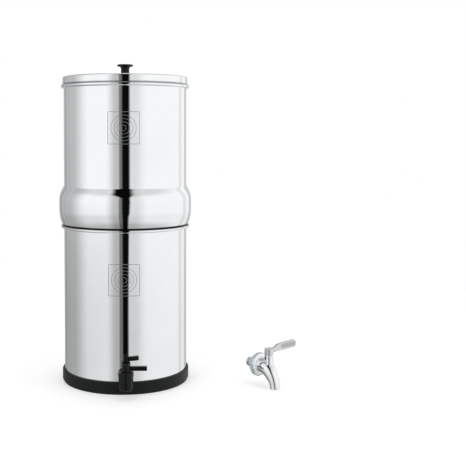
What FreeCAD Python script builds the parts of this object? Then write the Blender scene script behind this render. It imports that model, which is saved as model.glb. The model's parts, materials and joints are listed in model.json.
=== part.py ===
import FreeCAD, Part
import math
import os
import re

import Sketcher

# Gravity water filter: two stacked stainless steel chambers, a lid, filter candles, a base
# ring, the tap that is fitted to it and a loose lever tap of turned steel standing beside it.
# Millimetres, +Z up. The origin is the middle of the base ring's foot; the taps face -Y.

doc = FreeCAD.newDocument("GravityFilter")
sheet = doc.addObject("Spreadsheet::Sheet", "Sizes")

DRIVING_SIZES = {
    # Shells
    "Sheet": 0.9,
    "SeatGap": 0.3,
    "ChamberRadius": 101.0,
    "BeadReach": 5.2,
    "BeadHeight": 5.6,
    "BeadRounding": 2.4,
    "FloorRounding": 8.0,
    # Base ring
    "BaseWall": 3.5,
    "BaseHeight": 20.0,
    "BaseWidth": 18.5,
    "BaseFloor": 5.0,
    "BaseTaper": 2.0,
    "BaseRounding": 1.5,
    # Lower chamber
    "LowerHeight": 253.5,
    "NeckFlare": 1.4,
    "NeckStart": 203.0,
    "NeckRun": 6.0,
    # Upper chamber
    "SpigotDepth": 27.0,
    "SpigotGap": 0.8,
    "UpperHeight": 228.5,
    "LedgeReach": 3.0,
    "BulgeReach": 8.5,
    "BulgeStart": 11.0,
    "BulgeEnd": 47.0,
    "BulgeTop": 66.0,
    "BulgeRounding": 15.0,
    "ShoulderRounding": 26.0,
    "LedgeRounding": 1.5,
    # Lid
    "LidOverhang": 1.8,
    "LidHeight": 12.5,
    "LidRounding": 6.0,
    "SkirtGap": 0.6,
    "SkirtDepth": 10.0,
    # Knob, its screw and washer
    "KnobRadius": 13.0,
    "KnobHeight": 21.0,
    "KnobRim": 3.0,
    "KnobNeckRadius": 5.4,
    "KnobFootRadius": 8.5,
    "KnobFlare": 5.0,
    "KnobRounding": 1.2,
    "ScrewRadius": 2.0,
    "ScrewGrip": 10.0,
    "ScrewHeadRadius": 4.0,
    "ScrewHeadHeight": 2.6,
    "ScrewGap": 0.25,
    "WasherRadius": 7.0,
    "WasherHeight": 1.0,
    # Candles
    "CandleCircle": 50.0,
    "CandleRadius": 24.0,
    "CandleHeight": 178.0,
    "CandleWall": 6.5,
    "CandleDome": 18.0,
    "CandleBaseRadius": 26.0,
    "CandleBaseHeight": 14.0,
    "CandleCup": 8.0,
    "CandleCupGap": 0.1,
    "StemRadius": 5.0,
    "StemLength": 34.0,
    "StemBore": 2.6,
    "StemGap": 0.3,
    "SealRadius": 13.0,
    "SealHeight": 3.0,
    "WingNutRadius": 8.5,
    "WingNutTaper": 2.0,
    "WingNutHeight": 9.0,
    "WingReach": 17.0,
    "WingThickness": 3.0,
    "WingHeight": 13.0,
    # Fitted tap
    "TapHeight": 33.0,
    "TapBarrelRadius": 7.6,
    "TapHoleGap": 0.5,
    "TapReach": 28.0,
    "TapInside": 20.0,
    "TapBodyRadius": 11.5,
    "TapBodyTop": 44.0,
    "TapBodyFoot": 19.5,
    "TapMouthRadius": 8.0,
    "TapMouth": 15.0,
    "TapMouthBore": 5.4,
    "TapWaterway": 3.2,
    "TapBodyRounding": 3.0,
    "TapFlangeRadius": 12.4,
    "TapFlangeHeight": 3.0,
    "TapWasherRadius": 12.0,
    "TapWasherHeight": 1.8,
    "TapNutRadius": 14.0,
    "TapNutHeight": 7.0,
    "PlugRadius": 6.4,
    "PlugFoot": 23.0,
    "PlugGap": 0.06,
    "PlugBore": 2.8,
    "PlugSealRadius": 1.1,
    "TapHubRadius": 6.3,
    "TapHubTop": 55.0,
    "TapArmReach": 32.4,
    "TapArmFoot": 45.4,
    "TapArmHeight": 6.4,
    "TapArmRootWidth": 5.0,
    "TapArmEndWidth": 9.0,
    # Loose lever tap, measured from the middle of its washer on the axis of its stem
    "LooseX": 216.0,
    "LooseY": -52.0,
    "LooseAngle": 35.0,
    "SteelWasherRadius": 19.0,
    "SteelWasherHeight": 6.0,
    "SteelWasherBevel": 2.0,
    "SteelStemRadius": 8.0,
    "SteelStemLength": 22.0,
    "SteelWaterway": 4.6,
    "SteelFlangeRadius": 18.0,
    "SteelFlangeHeight": 5.0,
    "SteelFlangeEdge": 1.6,
    "CollarRadius": 13.4,
    "CollarHeight": 1.6,
    "BeakRadius": 12.4,
    "BeakStart": 9.6,
    "TowerReach": 23.8,
    "TowerRadius": 7.2,
    "TowerTop": 18.5,
    "TowerFootRadius": 7.9,
    "TowerFootHeight": 3.5,
    "SlotHeight": 3.2,
    "SlotClearance": 2.0,
    "PinRadius": 0.9,
    "PinCircle": 6.0,
    "PinAngle": 15.0,
    "PinSink": 2.0,
    "QuarterTurn": 90.0,
    "MouthReach": 37.8,
    "MouthDrop": 32.5,
    "MouthRadius": 7.8,
    "MouthWall": 1.5,
    "SpoutWall": 3.6,
    "SpindleRadius": 3.9,
    "SpindleFoot": 6.0,
    "SpindleGap": 0.06,
    "SpindleBore": 2.4,
    "SpindleSealRadius": 0.9,
    "HubRadius": 7.0,
    "HubHeight": 11.4,
    "HubRounding": 0.8,
    "HubGap": 0.4,
    "CapRadius": 5.0,
    "CapHeight": 2.6,
    "CapSink": 0.5,
    "CapGap": 0.5,
    "SocketRadius": 1.8,
    "SocketDepth": 1.8,
    "PaddleReach": 60.5,
    "PaddleThickness": 4.4,
    "PaddleRootFoot": 3.7,
    "PaddleRootTop": 0.7,
    "PaddleRise": 2.1,
    "PaddleHeight": 12.5,
    "PaddleEndFlat": 0.4,
    "PaddleShoulder": 20.0,
    "PaddleNeck": 10.0,
    "PaddleDip": 2.5,
    "PanelStart": 25.0,
    "PanelInset": 2.6,
    "PanelDepth": 0.5,
    "SteelNutRadius": 12.7,
    "SteelNutHeight": 6.0,
    "SteelInnerWasherRadius": 12.0,
    "SteelInnerWasherHeight": 1.6,
}

# Heights and radii that follow from the driving sizes
DERIVED_SIZES = {
    "BaseRadius": "ChamberRadius + BaseWall",
    "BaseInnerRadius": "BaseRadius - BaseWidth",
    "NeckRadius": "ChamberRadius + NeckFlare",
    "LedgeRadius": "ChamberRadius + LedgeReach",
    "BulgeRadius": "ChamberRadius + BulgeReach",
    "LidRadius": "ChamberRadius + LidOverhang",
    "LowerRimTop": "BaseFloor + LowerHeight",
    "LedgeHeight": "LowerRimTop + SeatGap",
    "SpigotRadius": "NeckRadius - Sheet - SpigotGap",
    "UpperFoot": "LedgeHeight - SpigotDepth",
    "UpperFloor": "UpperFoot + Sheet",
    "UpperRimTop": "LedgeHeight + UpperHeight",
    "LidFoot": "UpperRimTop + SeatGap",
    "LidTop": "LidFoot + LidHeight",
    "SkirtRadius": "ChamberRadius - Sheet - SkirtGap",
    "TapAxisY": "ChamberRadius + TapReach",
    "TapSeatTop": "TapBodyTop + SeatGap",
    "TapWallSag": "ChamberRadius - sqrt(ChamberRadius ^ 2 - TapWasherRadius ^ 2)",
    "BeadReachOut": "ChamberRadius + BeadReach",
    "SlotInnerRadius": "PinCircle - PinRadius - SeatGap / 3",
    "HubFoot": "TowerTop + HubGap",
    "HubTop": "HubFoot + HubHeight",
    "SteelFlangeBack": "SteelWasherHeight / 2",
    "SteelFlangeFront": "SteelFlangeBack + SteelFlangeHeight",
    "PaddleFoot": "HubFoot + PaddleRootFoot",
    "PaddleNeckTop": "HubTop - PaddleRootTop",
    "PaddleEndFoot": "PaddleFoot + PaddleRise",
    "PaddleEndTop": "PaddleEndFoot + PaddleHeight",
}

for row, (alias, number) in enumerate({**DRIVING_SIZES, **DERIVED_SIZES}.items(), start=1):
    cell = f"B{row}"
    sheet.set(f"A{row}", alias)
    sheet.set(cell, f"={number}" if alias in DERIVED_SIZES else str(number))
    sheet.setAlias(cell, alias)
doc.recompute()


def bound(expression):
    """The expression with every size's name read from the sheet."""
    return re.sub(r"\b([A-Z][A-Za-z]+)\b", r"Sizes.\1", str(expression))


def value(expression):
    """The number that an expression of size names gives."""
    result = sheet.evalExpression(str(expression))
    return float(getattr(result, "Value", result))


def bind(target, **expressions):
    """Ties properties of a document object to expressions of the sheet's sizes."""
    for name, expression in expressions.items():
        target.setExpression(name, bound(expression))
    return target


def new_body(label):
    body = doc.addObject("PartDesign::Body", "Body_" + label)
    body.Label = label
    return body


def new_sketch(body, name, plane="XZ_Plane"):
    sketch = body.newObject("Sketcher::SketchObject", name)
    origin_plane = [f for f in body.Origin.OriginFeatures if f.Role == plane][0]
    sketch.AttachmentSupport = [(origin_plane, "")]
    sketch.MapMode = "FlatFace"
    return sketch


def pin_point(sketch, geometry, end, across, up):
    """Ties a point of the sketch to its two coordinates."""
    for kind, expression, axis in (("DistanceX", across, -2), ("DistanceY", up, -1)):
        number = value(expression)
        if number == 0:
            sketch.addConstraint(Sketcher.Constraint("PointOnObject", geometry, end, axis))
        else:
            index = sketch.addConstraint(
                Sketcher.Constraint(kind, -1, 1, geometry, end, number))
            sketch.setExpression(f"Constraints[{index}]", bound(expression))


def draw_outline(sketch, corners):
    """A closed outline of straight runs: each corner is (across, up) or (across, up, rounding)."""
    points = [FreeCAD.Vector(value(c[0]), value(c[1]), 0) for c in corners]
    count = len(corners)
    arcs = {}
    for i, corner in enumerate(corners):
        if len(corner) < 3:
            continue
        radius = value(corner[2])
        back = (points[i - 1] - points[i]).normalize()
        ahead = (points[(i + 1) % count] - points[i]).normalize()
        half = back.getAngle(ahead) / 2
        middle = (back + ahead).normalize()
        centre = points[i] + middle * (radius / math.sin(half))
        trim = radius / math.tan(half)
        arcs[i] = (points[i] + back * trim, points[i] + ahead * trim, centre, radius)
    for i in range(count):
        after = (i + 1) % count
        start = arcs[i][1] if i in arcs else points[i]
        stop = arcs[after][0] if after in arcs else points[after]
        sketch.addGeometry(Part.LineSegment(start, stop), False)
    for i, corner in enumerate(corners):
        before = (i - 1) % count
        if i not in arcs:
            sketch.addConstraint(Sketcher.Constraint("Coincident", before, 2, i, 1))
            pin_point(sketch, i, 1, corner[0], corner[1])
            continue
        first, last, centre, radius = arcs[i]
        spin = (first - centre).cross(last - centre).z
        begin, finish = (first, last) if spin > 0 else (last, first)
        circle = Part.Circle(centre, FreeCAD.Vector(0, 0, 1), radius)
        angles = [math.atan2(p.y - centre.y, p.x - centre.x) for p in (begin, finish)]
        arc = sketch.addGeometry(Part.ArcOfCircle(circle, *angles), False)
        mark = sketch.addGeometry(Part.Point(points[i]), True)
        incoming, outgoing = (1, 2) if spin > 0 else (2, 1)
        sketch.addConstraint(Sketcher.Constraint("Tangent", before, 2, arc, incoming))
        sketch.addConstraint(Sketcher.Constraint("Tangent", arc, outgoing, i, 1))
        sketch.addConstraint(Sketcher.Constraint("PointOnObject", mark, 1, before))
        sketch.addConstraint(Sketcher.Constraint("PointOnObject", mark, 1, i))
        pin_point(sketch, mark, 1, corner[0], corner[1])
        index = sketch.addConstraint(Sketcher.Constraint("Radius", arc, radius))
        sketch.setExpression(f"Constraints[{index}]", bound(corner[2]))
    return sketch


def draw_circle(sketch, across, up, radius):
    centre = FreeCAD.Vector(value(across), value(up), 0)
    circle = sketch.addGeometry(
        Part.Circle(centre, FreeCAD.Vector(0, 0, 1), value(radius)), False)
    pin_point(sketch, circle, 3, across, up)
    index = sketch.addConstraint(Sketcher.Constraint("Radius", circle, value(radius)))
    sketch.setExpression(f"Constraints[{index}]", bound(radius))
    return sketch


def turned(body, name, corners, kind="PartDesign::Revolution", plane="XZ_Plane",
           axis="V_Axis"):
    """Spins an outline a full turn about its sketch's axis, to add metal or to groove it."""
    sketch = draw_outline(new_sketch(body, name + "_outline", plane), corners)
    feature = body.newObject(kind, name)
    feature.Profile = sketch
    feature.ReferenceAxis = (sketch, [axis])
    feature.Angle = 360
    return feature


def ring_outline(inner, outer, foot, top):
    return [(inner, foot), (outer, foot), (outer, top), (inner, top)]


def turned_ring(label, inner, outer, foot, top):
    body = new_body(label)
    turned(body, label + "_ring", ring_outline(inner, outer, foot, top))
    return body


# Lower chamber: a deep pan with a widened neck, a rolled rim and a hole for the tap

def bead(wall, top):
    """The rolled rim's corners, from its foot on the wall to its top inside the mouth."""
    foot = f"{top} - BeadHeight"
    return [
        (wall, foot),
        ("BeadReachOut", foot, "BeadRounding"),
        ("BeadReachOut", top, "BeadRounding"),
        (f"{wall} - Sheet", top),
    ]


lower_chamber = new_body("lower_chamber")
turned(lower_chamber, "lower_shell", [
    (0, "BaseFloor"),
    ("ChamberRadius", "BaseFloor", "FloorRounding"),
    ("ChamberRadius", "NeckStart"),
    ("NeckRadius", "NeckStart + NeckRun"),
    *bead("NeckRadius", "LowerRimTop"),
    ("NeckRadius - Sheet", "NeckStart + NeckRun"),
    ("ChamberRadius - Sheet", "NeckStart"),
    ("ChamberRadius - Sheet", "BaseFloor + Sheet", "FloorRounding - Sheet"),
    (0, "BaseFloor + Sheet"),
])
doc.recompute()
shell_volume = lower_chamber.Shape.Volume
tap_hole_outline = draw_circle(
    new_sketch(lower_chamber, "tap_hole_outline"), 0, "TapHeight",
    "TapBarrelRadius + TapHoleGap")
tap_hole = lower_chamber.newObject("PartDesign::Pocket", "tap_hole")
tap_hole.Profile = tap_hole_outline
tap_hole.Type = "Length"
bind(tap_hole, Length="ChamberRadius + BeadReach")
tap_hole.Reversed = True
doc.recompute()
assert lower_chamber.Shape.Volume < shell_volume, "the tap hole cuts nothing"

# Base ring: a rubber ring whose channel holds the lower chamber's foot

base_ring = new_body("base_ring")
turned(base_ring, "base_section", [
    ("BaseInnerRadius", 0),
    ("BaseRadius - BaseTaper", 0),
    ("BaseRadius", "BaseTaper * 2", "BaseRounding"),
    ("BaseRadius", "BaseHeight", "BaseRounding"),
    ("ChamberRadius + SeatGap / 2", "BaseHeight"),
    ("ChamberRadius + SeatGap / 2", "BaseFloor - SeatGap", "FloorRounding"),
    ("BaseInnerRadius", "BaseFloor - SeatGap"),
])

# Upper chamber: a straight pan above a bulge, which steps in to a spigot inside the lower rim

upper_chamber = new_body("upper_chamber")
turned(upper_chamber, "upper_shell", [
    (0, "UpperFoot"),
    ("SpigotRadius", "UpperFoot", "FloorRounding"),
    ("SpigotRadius", "LedgeHeight"),
    ("LedgeRadius", "LedgeHeight", "LedgeRounding"),
    ("BulgeRadius", "LedgeHeight + BulgeStart", "BulgeRounding"),
    ("BulgeRadius", "LedgeHeight + BulgeEnd", "ShoulderRounding"),
    ("ChamberRadius", "LedgeHeight + BulgeTop", "ShoulderRounding"),
    *bead("ChamberRadius", "UpperRimTop"),
    ("ChamberRadius - Sheet", "LedgeHeight + BulgeTop", "ShoulderRounding + Sheet"),
    ("BulgeRadius - Sheet", "LedgeHeight + BulgeEnd", "ShoulderRounding - Sheet"),
    ("BulgeRadius - Sheet", "LedgeHeight + BulgeStart", "BulgeRounding - Sheet"),
    ("LedgeRadius - Sheet", "LedgeHeight + Sheet"),
    ("SpigotRadius - Sheet", "LedgeHeight + Sheet"),
    ("SpigotRadius - Sheet", "UpperFloor", "FloorRounding - Sheet"),
    (0, "UpperFloor"),
])
candle_count = 4
first_candle_angle = 45
candle_hole_outline = draw_circle(
    new_sketch(upper_chamber, "candle_hole_outline", "XY_Plane"),
    f"CandleCircle * cos({first_candle_angle} deg)",
    f"CandleCircle * sin({first_candle_angle} deg)", "StemRadius + StemGap")
candle_hole = upper_chamber.newObject("PartDesign::Pocket", "candle_hole")
candle_hole.Profile = candle_hole_outline
candle_hole.Type = "Length"
bind(candle_hole, Length="LedgeHeight")
candle_hole.Reversed = True
candle_holes = upper_chamber.newObject("PartDesign::PolarPattern", "candle_holes")
candle_holes.Originals = [candle_hole]
candle_holes.Axis = (candle_hole_outline, ["N_Axis"])
candle_holes.Angle = 360
candle_holes.Occurrences = candle_count
upper_chamber.Tip = candle_holes

# Lid: a shallow pressed cap that stands on the rim, with a skirt that centres it in the mouth

lid = new_body("lid")
turned(lid, "lid_section", [
    ("ScrewRadius + ScrewGap", "LidTop - Sheet"),
    ("LidRadius - Sheet", "LidTop - Sheet", "LidRounding - Sheet"),
    ("LidRadius - Sheet", "LidFoot + Sheet"),
    ("SkirtRadius - Sheet", "LidFoot + Sheet"),
    ("SkirtRadius - Sheet", "LidFoot - SkirtDepth"),
    ("SkirtRadius", "LidFoot - SkirtDepth"),
    ("SkirtRadius", "LidFoot"),
    ("LidRadius", "LidFoot"),
    ("LidRadius", "LidTop", "LidRounding"),
    ("ScrewRadius + ScrewGap", "LidTop"),
])

# Knob: a trumpet turned from a broad foot through a narrow neck to a flat rim

lid_knob = new_body("lid_knob")
turned(lid_knob, "knob_section", [
    ("ScrewRadius + ScrewGap", "LidTop"),
    ("KnobFootRadius", "LidTop"),
    ("KnobFootRadius", "LidTop + KnobRim / 2", "KnobRounding / 2"),
    ("KnobNeckRadius", "LidTop + KnobRim", "KnobRounding"),
    ("KnobNeckRadius", "LidTop + KnobHeight - KnobRim - KnobRounding", "KnobFlare"),
    ("KnobRadius", "LidTop + KnobHeight - KnobRim", "KnobRounding / 2"),
    ("KnobRadius", "LidTop + KnobHeight", "KnobRounding"),
    (0, "LidTop + KnobHeight"),
    (0, "LidTop + ScrewGrip + ScrewGap"),
    ("ScrewRadius + ScrewGap", "LidTop + ScrewGrip + ScrewGap"),
])

washer_top = "(LidTop - Sheet)"
knob_washer = turned_ring("knob_washer", "ScrewRadius + ScrewGap", "WasherRadius",
                          f"{washer_top} - WasherHeight", washer_top)

head_top = f"({washer_top} - WasherHeight)"
knob_screw = new_body("knob_screw")
turned(knob_screw, "screw_section", [
    (0, f"{head_top} - ScrewHeadHeight"),
    ("ScrewHeadRadius", f"{head_top} - ScrewHeadHeight", "ScrewHeadHeight / 3"),
    ("ScrewHeadRadius", head_top),
    ("ScrewRadius", head_top),
    ("ScrewRadius", "LidTop + ScrewGrip"),
    (0, "LidTop + ScrewGrip"),
])

# Filter candles: a domed ceramic shell in a moulded base, whose threaded outlet passes through
# a seal and the upper chamber's floor into a wing nut

def candle_place(index):
    angle = math.radians(first_candle_angle + 360 / candle_count * index)
    circle = value("CandleCircle")
    return FreeCAD.Placement(
        FreeCAD.Vector(circle * math.cos(angle), circle * math.sin(angle), 0),
        FreeCAD.Rotation(FreeCAD.Vector(0, 0, 1), math.degrees(angle)))


seal_top = "(UpperFloor + SealHeight)"
shell_foot = f"({seal_top} + CandleBaseHeight - CandleCup)"


def candle_shell(label):
    body = new_body(label)
    turned(body, label + "_section", [
        ("CandleRadius - CandleWall", shell_foot),
        ("CandleRadius", shell_foot),
        ("CandleRadius", f"{shell_foot} + CandleHeight", "CandleDome"),
        (0, f"{shell_foot} + CandleHeight"),
        (0, f"{shell_foot} + CandleHeight - CandleWall"),
        ("CandleRadius - CandleWall", f"{shell_foot} + CandleHeight - CandleWall",
         "CandleDome - CandleWall"),
    ])
    return body


def candle_base(label):
    body = new_body(label)
    turned(body, label + "_section", [
        ("StemBore", f"{seal_top} - StemLength"),
        ("StemRadius", f"{seal_top} - StemLength"),
        ("StemRadius", seal_top),
        ("CandleBaseRadius", seal_top, "KnobRounding"),
        ("CandleBaseRadius", f"{seal_top} + CandleBaseHeight"),
        ("CandleRadius + CandleCupGap", f"{seal_top} + CandleBaseHeight"),
        ("CandleRadius + CandleCupGap", shell_foot),
        ("StemBore", shell_foot),
    ])
    return body


candle_shells = [candle_shell(f"candle_shell_{i + 1}") for i in range(candle_count)]
candle_bases = [candle_base(f"candle_base_{i + 1}") for i in range(candle_count)]
for index, (shell, base) in enumerate(zip(candle_shells, candle_bases)):
    shell.Placement = candle_place(index)
    base.Placement = candle_place(index)


def placed_group(label, solid_maker):
    """One sub-part that holds a copy of the same small solid under every candle."""
    group = doc.addObject("Part::Feature", label)
    solids = []
    for index in range(candle_count):
        solid = solid_maker()
        solid.Placement = candle_place(index)
        solids.append(solid)
    group.Shape = Part.makeCompound(solids)
    group.Label = label
    return group


def seal_solid():
    up = FreeCAD.Vector(0, 0, value("UpperFloor"))
    disc = Part.makeCylinder(value("SealRadius"), value("SealHeight"), up)
    return disc.cut(Part.makeCylinder(value("StemRadius + StemGap"), value("SealHeight"), up))


def wing_nut_solid():
    top = value("UpperFoot")
    low = FreeCAD.Vector(0, 0, top - value("WingNutHeight"))
    nut = Part.makeCone(value("WingNutRadius - WingNutTaper"), value("WingNutRadius"),
                        value("WingNutHeight"), low)
    reach = value("WingReach")
    thick = value("WingThickness")
    tall = value("WingHeight")
    for side in (-1, 1):
        wing = Part.makeCylinder(tall / 2, thick, FreeCAD.Vector(0, thick / 2, 0),
                                 FreeCAD.Vector(0, -1, 0))
        centre = FreeCAD.Vector(side * (reach - tall / 2), 0,
                                top - value("WingNutHeight") - thick / 2)
        wing.translate(centre)
        nut = nut.fuse(wing)
    bore = Part.makeCylinder(value("StemRadius + StemGap / 2"), value("StemLength"),
                             FreeCAD.Vector(0, 0, top - value("StemLength")))
    return nut.cut(bore)


candle_seals = placed_group("candle_seals", seal_solid)
candle_wing_nuts = placed_group("candle_wing_nuts", wing_nut_solid)

# Fitted tap: a plastic body on a barrel through the wall, with a quarter-turn plug and lever.
# Its bodies are drawn about the plug's axis and then moved out to it.

fitted_place = FreeCAD.Placement(
    FreeCAD.Vector(0, -value("TapAxisY"), 0), FreeCAD.Rotation())
wall_at = "(TapReach - SeatGap)"
washer_at = f"({wall_at} - TapWasherHeight)"
flange_at = f"({washer_at} - TapFlangeHeight)"
inside_at = "(TapReach + Sheet + TapWallSag + SeatGap / 3)"


tap_body = new_body("tap_body")
turned(tap_body, "tap_column", [
    (0, "TapMouth"),
    ("TapMouthRadius", "TapMouth"),
    ("TapMouthRadius", "TapBodyFoot", "TapBodyRounding / 3"),
    ("TapBodyRadius", "TapBodyFoot + TapBodyRounding", "TapBodyRounding"),
    ("TapBodyRadius", "TapBodyTop", "TapBodyRounding"),
    (0, "TapBodyTop"),
])
barrel_sketch = draw_circle(
    new_sketch(tap_body, "barrel_outline"), 0, "TapHeight", "TapBarrelRadius")
barrel = tap_body.newObject("PartDesign::Pad", "barrel")
barrel.Profile = barrel_sketch
barrel.Reversed = True
bind(barrel, Length="TapReach + TapInside")
flange_sketch = draw_circle(
    new_sketch(tap_body, "flange_outline"), 0, "TapHeight", "TapFlangeRadius")
bind(flange_sketch, **{"AttachmentOffset.Base.z": f"-{washer_at}"})
tap_flange = tap_body.newObject("PartDesign::Pad", "tap_flange")
tap_flange.Profile = flange_sketch
bind(tap_flange, Length="TapFlangeHeight")
waterway_sketch = draw_circle(
    new_sketch(tap_body, "waterway_outline"), 0, "TapHeight", "TapWaterway")
waterway = tap_body.newObject("PartDesign::Pocket", "waterway")
waterway.Profile = waterway_sketch
waterway.Type = "Length"
bind(waterway, Length="TapReach + TapInside + TapHeight")
turned(tap_body, "plug_bore", [
    (0, "PlugFoot"),
    ("PlugRadius + PlugGap", "PlugFoot"),
    ("PlugRadius + PlugGap", "TapBodyTop + SeatGap"),
    (0, "TapBodyTop + SeatGap"),
], "PartDesign::Groove")
turned(tap_body, "mouth_bore", [
    (0, "TapMouth - SeatGap"),
    ("TapMouthBore", "TapMouth - SeatGap"),
    ("TapMouthBore", "PlugFoot + SeatGap"),
    (0, "PlugFoot + SeatGap"),
], "PartDesign::Groove")

seal_mid = "(TapBodyTop - TapBodyRounding)"
tap_plug = new_body("tap_plug")
turned(tap_plug, "plug_section", [
    (0, "PlugFoot + SeatGap * 2"),
    ("PlugRadius", "PlugFoot + SeatGap * 2"),
    ("PlugRadius", f"{seal_mid} - PlugSealRadius"),
    ("PlugRadius - PlugSealRadius", f"{seal_mid} - PlugSealRadius"),
    ("PlugRadius - PlugSealRadius", f"{seal_mid} + PlugSealRadius"),
    ("PlugRadius", f"{seal_mid} + PlugSealRadius"),
    ("PlugRadius", "TapSeatTop"),
    (0, "TapSeatTop"),
])
plug_bore_sketch = draw_circle(
    new_sketch(tap_plug, "plug_way_outline", "YZ_Plane"), 0, "TapHeight", "PlugBore")
plug_way = tap_plug.newObject("PartDesign::Pocket", "plug_way")
plug_way.Profile = plug_bore_sketch
plug_way.Type = "Length"
plug_way.SideType = "Symmetric"
bind(plug_way, Length="PlugRadius * 4")

plug_seal = turned_ring(
    "tap_plug_seal", "PlugRadius - PlugSealRadius + PlugGap", "PlugRadius",
    f"{seal_mid} - PlugSealRadius + PlugGap", f"{seal_mid} + PlugSealRadius - PlugGap")

tap_lever = new_body("tap_lever")
turned(tap_lever, "tap_hub", [
    (0, "TapSeatTop"),
    ("TapHubRadius", "TapSeatTop"),
    ("TapHubRadius", "TapHubTop", "TapBodyRounding / 2"),
    (0, "TapHubTop"),
])
arm_foot_outline = draw_outline(new_sketch(tap_lever, "arm_plan", "XY_Plane"), [
    (0, "-TapArmRootWidth / 2"),
    ("TapArmReach", "-TapArmEndWidth / 2", "TapBodyRounding / 2"),
    ("TapArmReach", "TapArmEndWidth / 2", "TapBodyRounding / 2"),
    (0, "TapArmRootWidth / 2"),
])
bind(arm_foot_outline, **{"AttachmentOffset.Base.z": "TapArmFoot"})
tap_arm = tap_lever.newObject("PartDesign::Pad", "tap_arm")
tap_arm.Profile = arm_foot_outline
bind(tap_arm, Length="TapArmHeight")

tap_washer = doc.addObject("Part::Feature", "tap_outer_washer")
tap_inner_washer = doc.addObject("Part::Feature", "tap_inner_washer")
tap_nut = doc.addObject("Part::Feature", "tap_nut")


def barrel_ring(start, length, outer, inner):
    """A ring on the barrel's axis, from start behind the plug's axis."""
    base = FreeCAD.Vector(0, start, value("TapHeight"))
    along = FreeCAD.Vector(0, 1, 0)
    ring = Part.makeCylinder(outer, length, base, along)
    return ring.cut(Part.makeCylinder(inner, length, base, along))


def hexagon_nut(circumradius, height, bore):
    """A hexagonal nut standing on the XY plane, with the corners of one face turned off."""
    corners = [FreeCAD.Vector(circumradius * math.cos(math.radians(60 * i)),
                              circumradius * math.sin(math.radians(60 * i)), 0)
               for i in range(7)]
    block = Part.Face(Part.makePolygon(corners)).extrude(FreeCAD.Vector(0, 0, height))
    turned_off = circumradius * (1 - math.cos(math.radians(30)))
    cone = Part.makeCone(circumradius + height - turned_off, circumradius - turned_off, height)
    return block.common(cone).cut(Part.makeCylinder(bore, height))


barrel_bore = value("TapBarrelRadius + StemGap / 2")
tap_washer.Shape = barrel_ring(value(washer_at), value("TapWasherHeight"),
                               value("TapWasherRadius"), barrel_bore)
tap_inner_washer.Shape = barrel_ring(value(inside_at), value("TapWasherHeight"),
                                     value("TapWasherRadius"), barrel_bore)
nut_shape = hexagon_nut(value("TapNutRadius"), value("TapNutHeight"), barrel_bore)
nut_shape.Placement = FreeCAD.Placement(
    FreeCAD.Vector(0, value(f"{inside_at} + TapWasherHeight"), value("TapHeight")),
    FreeCAD.Rotation(FreeCAD.Vector(1, 0, 0), -90))
tap_nut.Shape = nut_shape

for piece in (tap_body, tap_plug, plug_seal, tap_lever, tap_washer, tap_inner_washer, tap_nut):
    piece.Placement = fitted_place.multiply(piece.Placement)

# Loose lever tap. Its pieces are drawn with the stem's axis on the Y axis and the nose
# towards -Y, and are then stood on the spout's mouth and turned.

loose_place = FreeCAD.Placement(
    FreeCAD.Vector(value("LooseX"), value("LooseY"), value("MouthDrop")),
    FreeCAD.Rotation(FreeCAD.Vector(0, 0, 1), value("LooseAngle")))
tower_place = FreeCAD.Placement(FreeCAD.Vector(0, -value("TowerReach"), 0), FreeCAD.Rotation())

# The beak's round sections from its back to its mouth: each one's share of the way forward,
# of the drop and of the narrowing, all between the named ends, and its slope in degrees
BEAK_SECTIONS = (
    (0.0, 0.0, 0.0, 0),
    (0.22, 0.01, 0.0, 6),
    (0.48, 0.11, 0.1, 29),
    (0.71, 0.33, 0.4, 52),
    (0.89, 0.59, 0.75, 70),
    (0.98, 0.83, 0.97, 84),
    (1.0, 1.0, 1.0, 90),
)


def beak_loft(name, sections, shrink):
    """A loft through round sections of the beak, each smaller by shrink."""
    circles = []
    for number, (forward, down, narrowed, slope) in enumerate(sections):
        circle = doc.addObject("Part::Circle", f"{name}_section_{number + 1}")
        bind(circle, **{
            "Radius": f"BeakRadius - {narrowed} * (BeakRadius - MouthRadius) - {shrink}",
            "Placement.Base.y": f"-(BeakStart + {forward} * (MouthReach - BeakStart))",
            "Placement.Base.z": f"-({down} * MouthDrop)",
        })
        circle.Placement.Rotation = FreeCAD.Rotation(FreeCAD.Vector(1, 0, 0), 90 + slope)
        circles.append(circle)
    loft = doc.addObject("Part::Loft", name)
    loft.Sections = circles
    loft.Solid = True
    loft.Ruled = False
    return loft


def cylinder(name, radius, height, reach, foot, forward=False, angle=None):
    """A cylinder at a reach ahead of the washer, upright or along the stem's axis."""
    drum = doc.addObject("Part::Cylinder", name)
    bind(drum, Radius=radius, Height=height,
         **{"Placement.Base.y": f"-({reach})", "Placement.Base.z": foot})
    if forward:
        drum.Placement.Rotation = FreeCAD.Rotation(FreeCAD.Vector(1, 0, 0), 90)
    if angle is not None:
        bind(drum, Angle=angle)
    return drum


def fused(name, pieces):
    union = doc.addObject("Part::MultiFuse", name)
    union.Shapes = pieces
    return union


def cut(name, base, tool):
    cutting = doc.addObject("Part::Cut", name)
    cutting.Base = base
    cutting.Tool = tool
    return cutting


tower_foot = doc.addObject("Part::Cone", "tower_foot")
bind(tower_foot, Radius1="TowerFootRadius", Radius2="TowerRadius", Height="TowerFootHeight",
     **{"Placement.Base.y": "-TowerReach", "Placement.Base.z": "BeakRadius - TowerFootHeight"})
beak = fused("beak_and_tower", [
    beak_loft("beak", BEAK_SECTIONS, "0"),
    cylinder("beak_back", "BeakRadius", "BeakStart - SteelFlangeFront", "SteelFlangeFront", "0",
             forward=True),
    cylinder("tower", "TowerRadius", "TowerTop", "TowerReach", "0"),
    cylinder("tower_skirt", "TowerFootRadius", "BeakRadius - TowerFootHeight", "TowerReach",
             "0"),
    tower_foot,
    cylinder("threaded_stem", "SteelStemRadius", "SteelStemLength + SteelFlangeFront",
             "-SteelStemLength", "0", forward=True),
])

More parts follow.
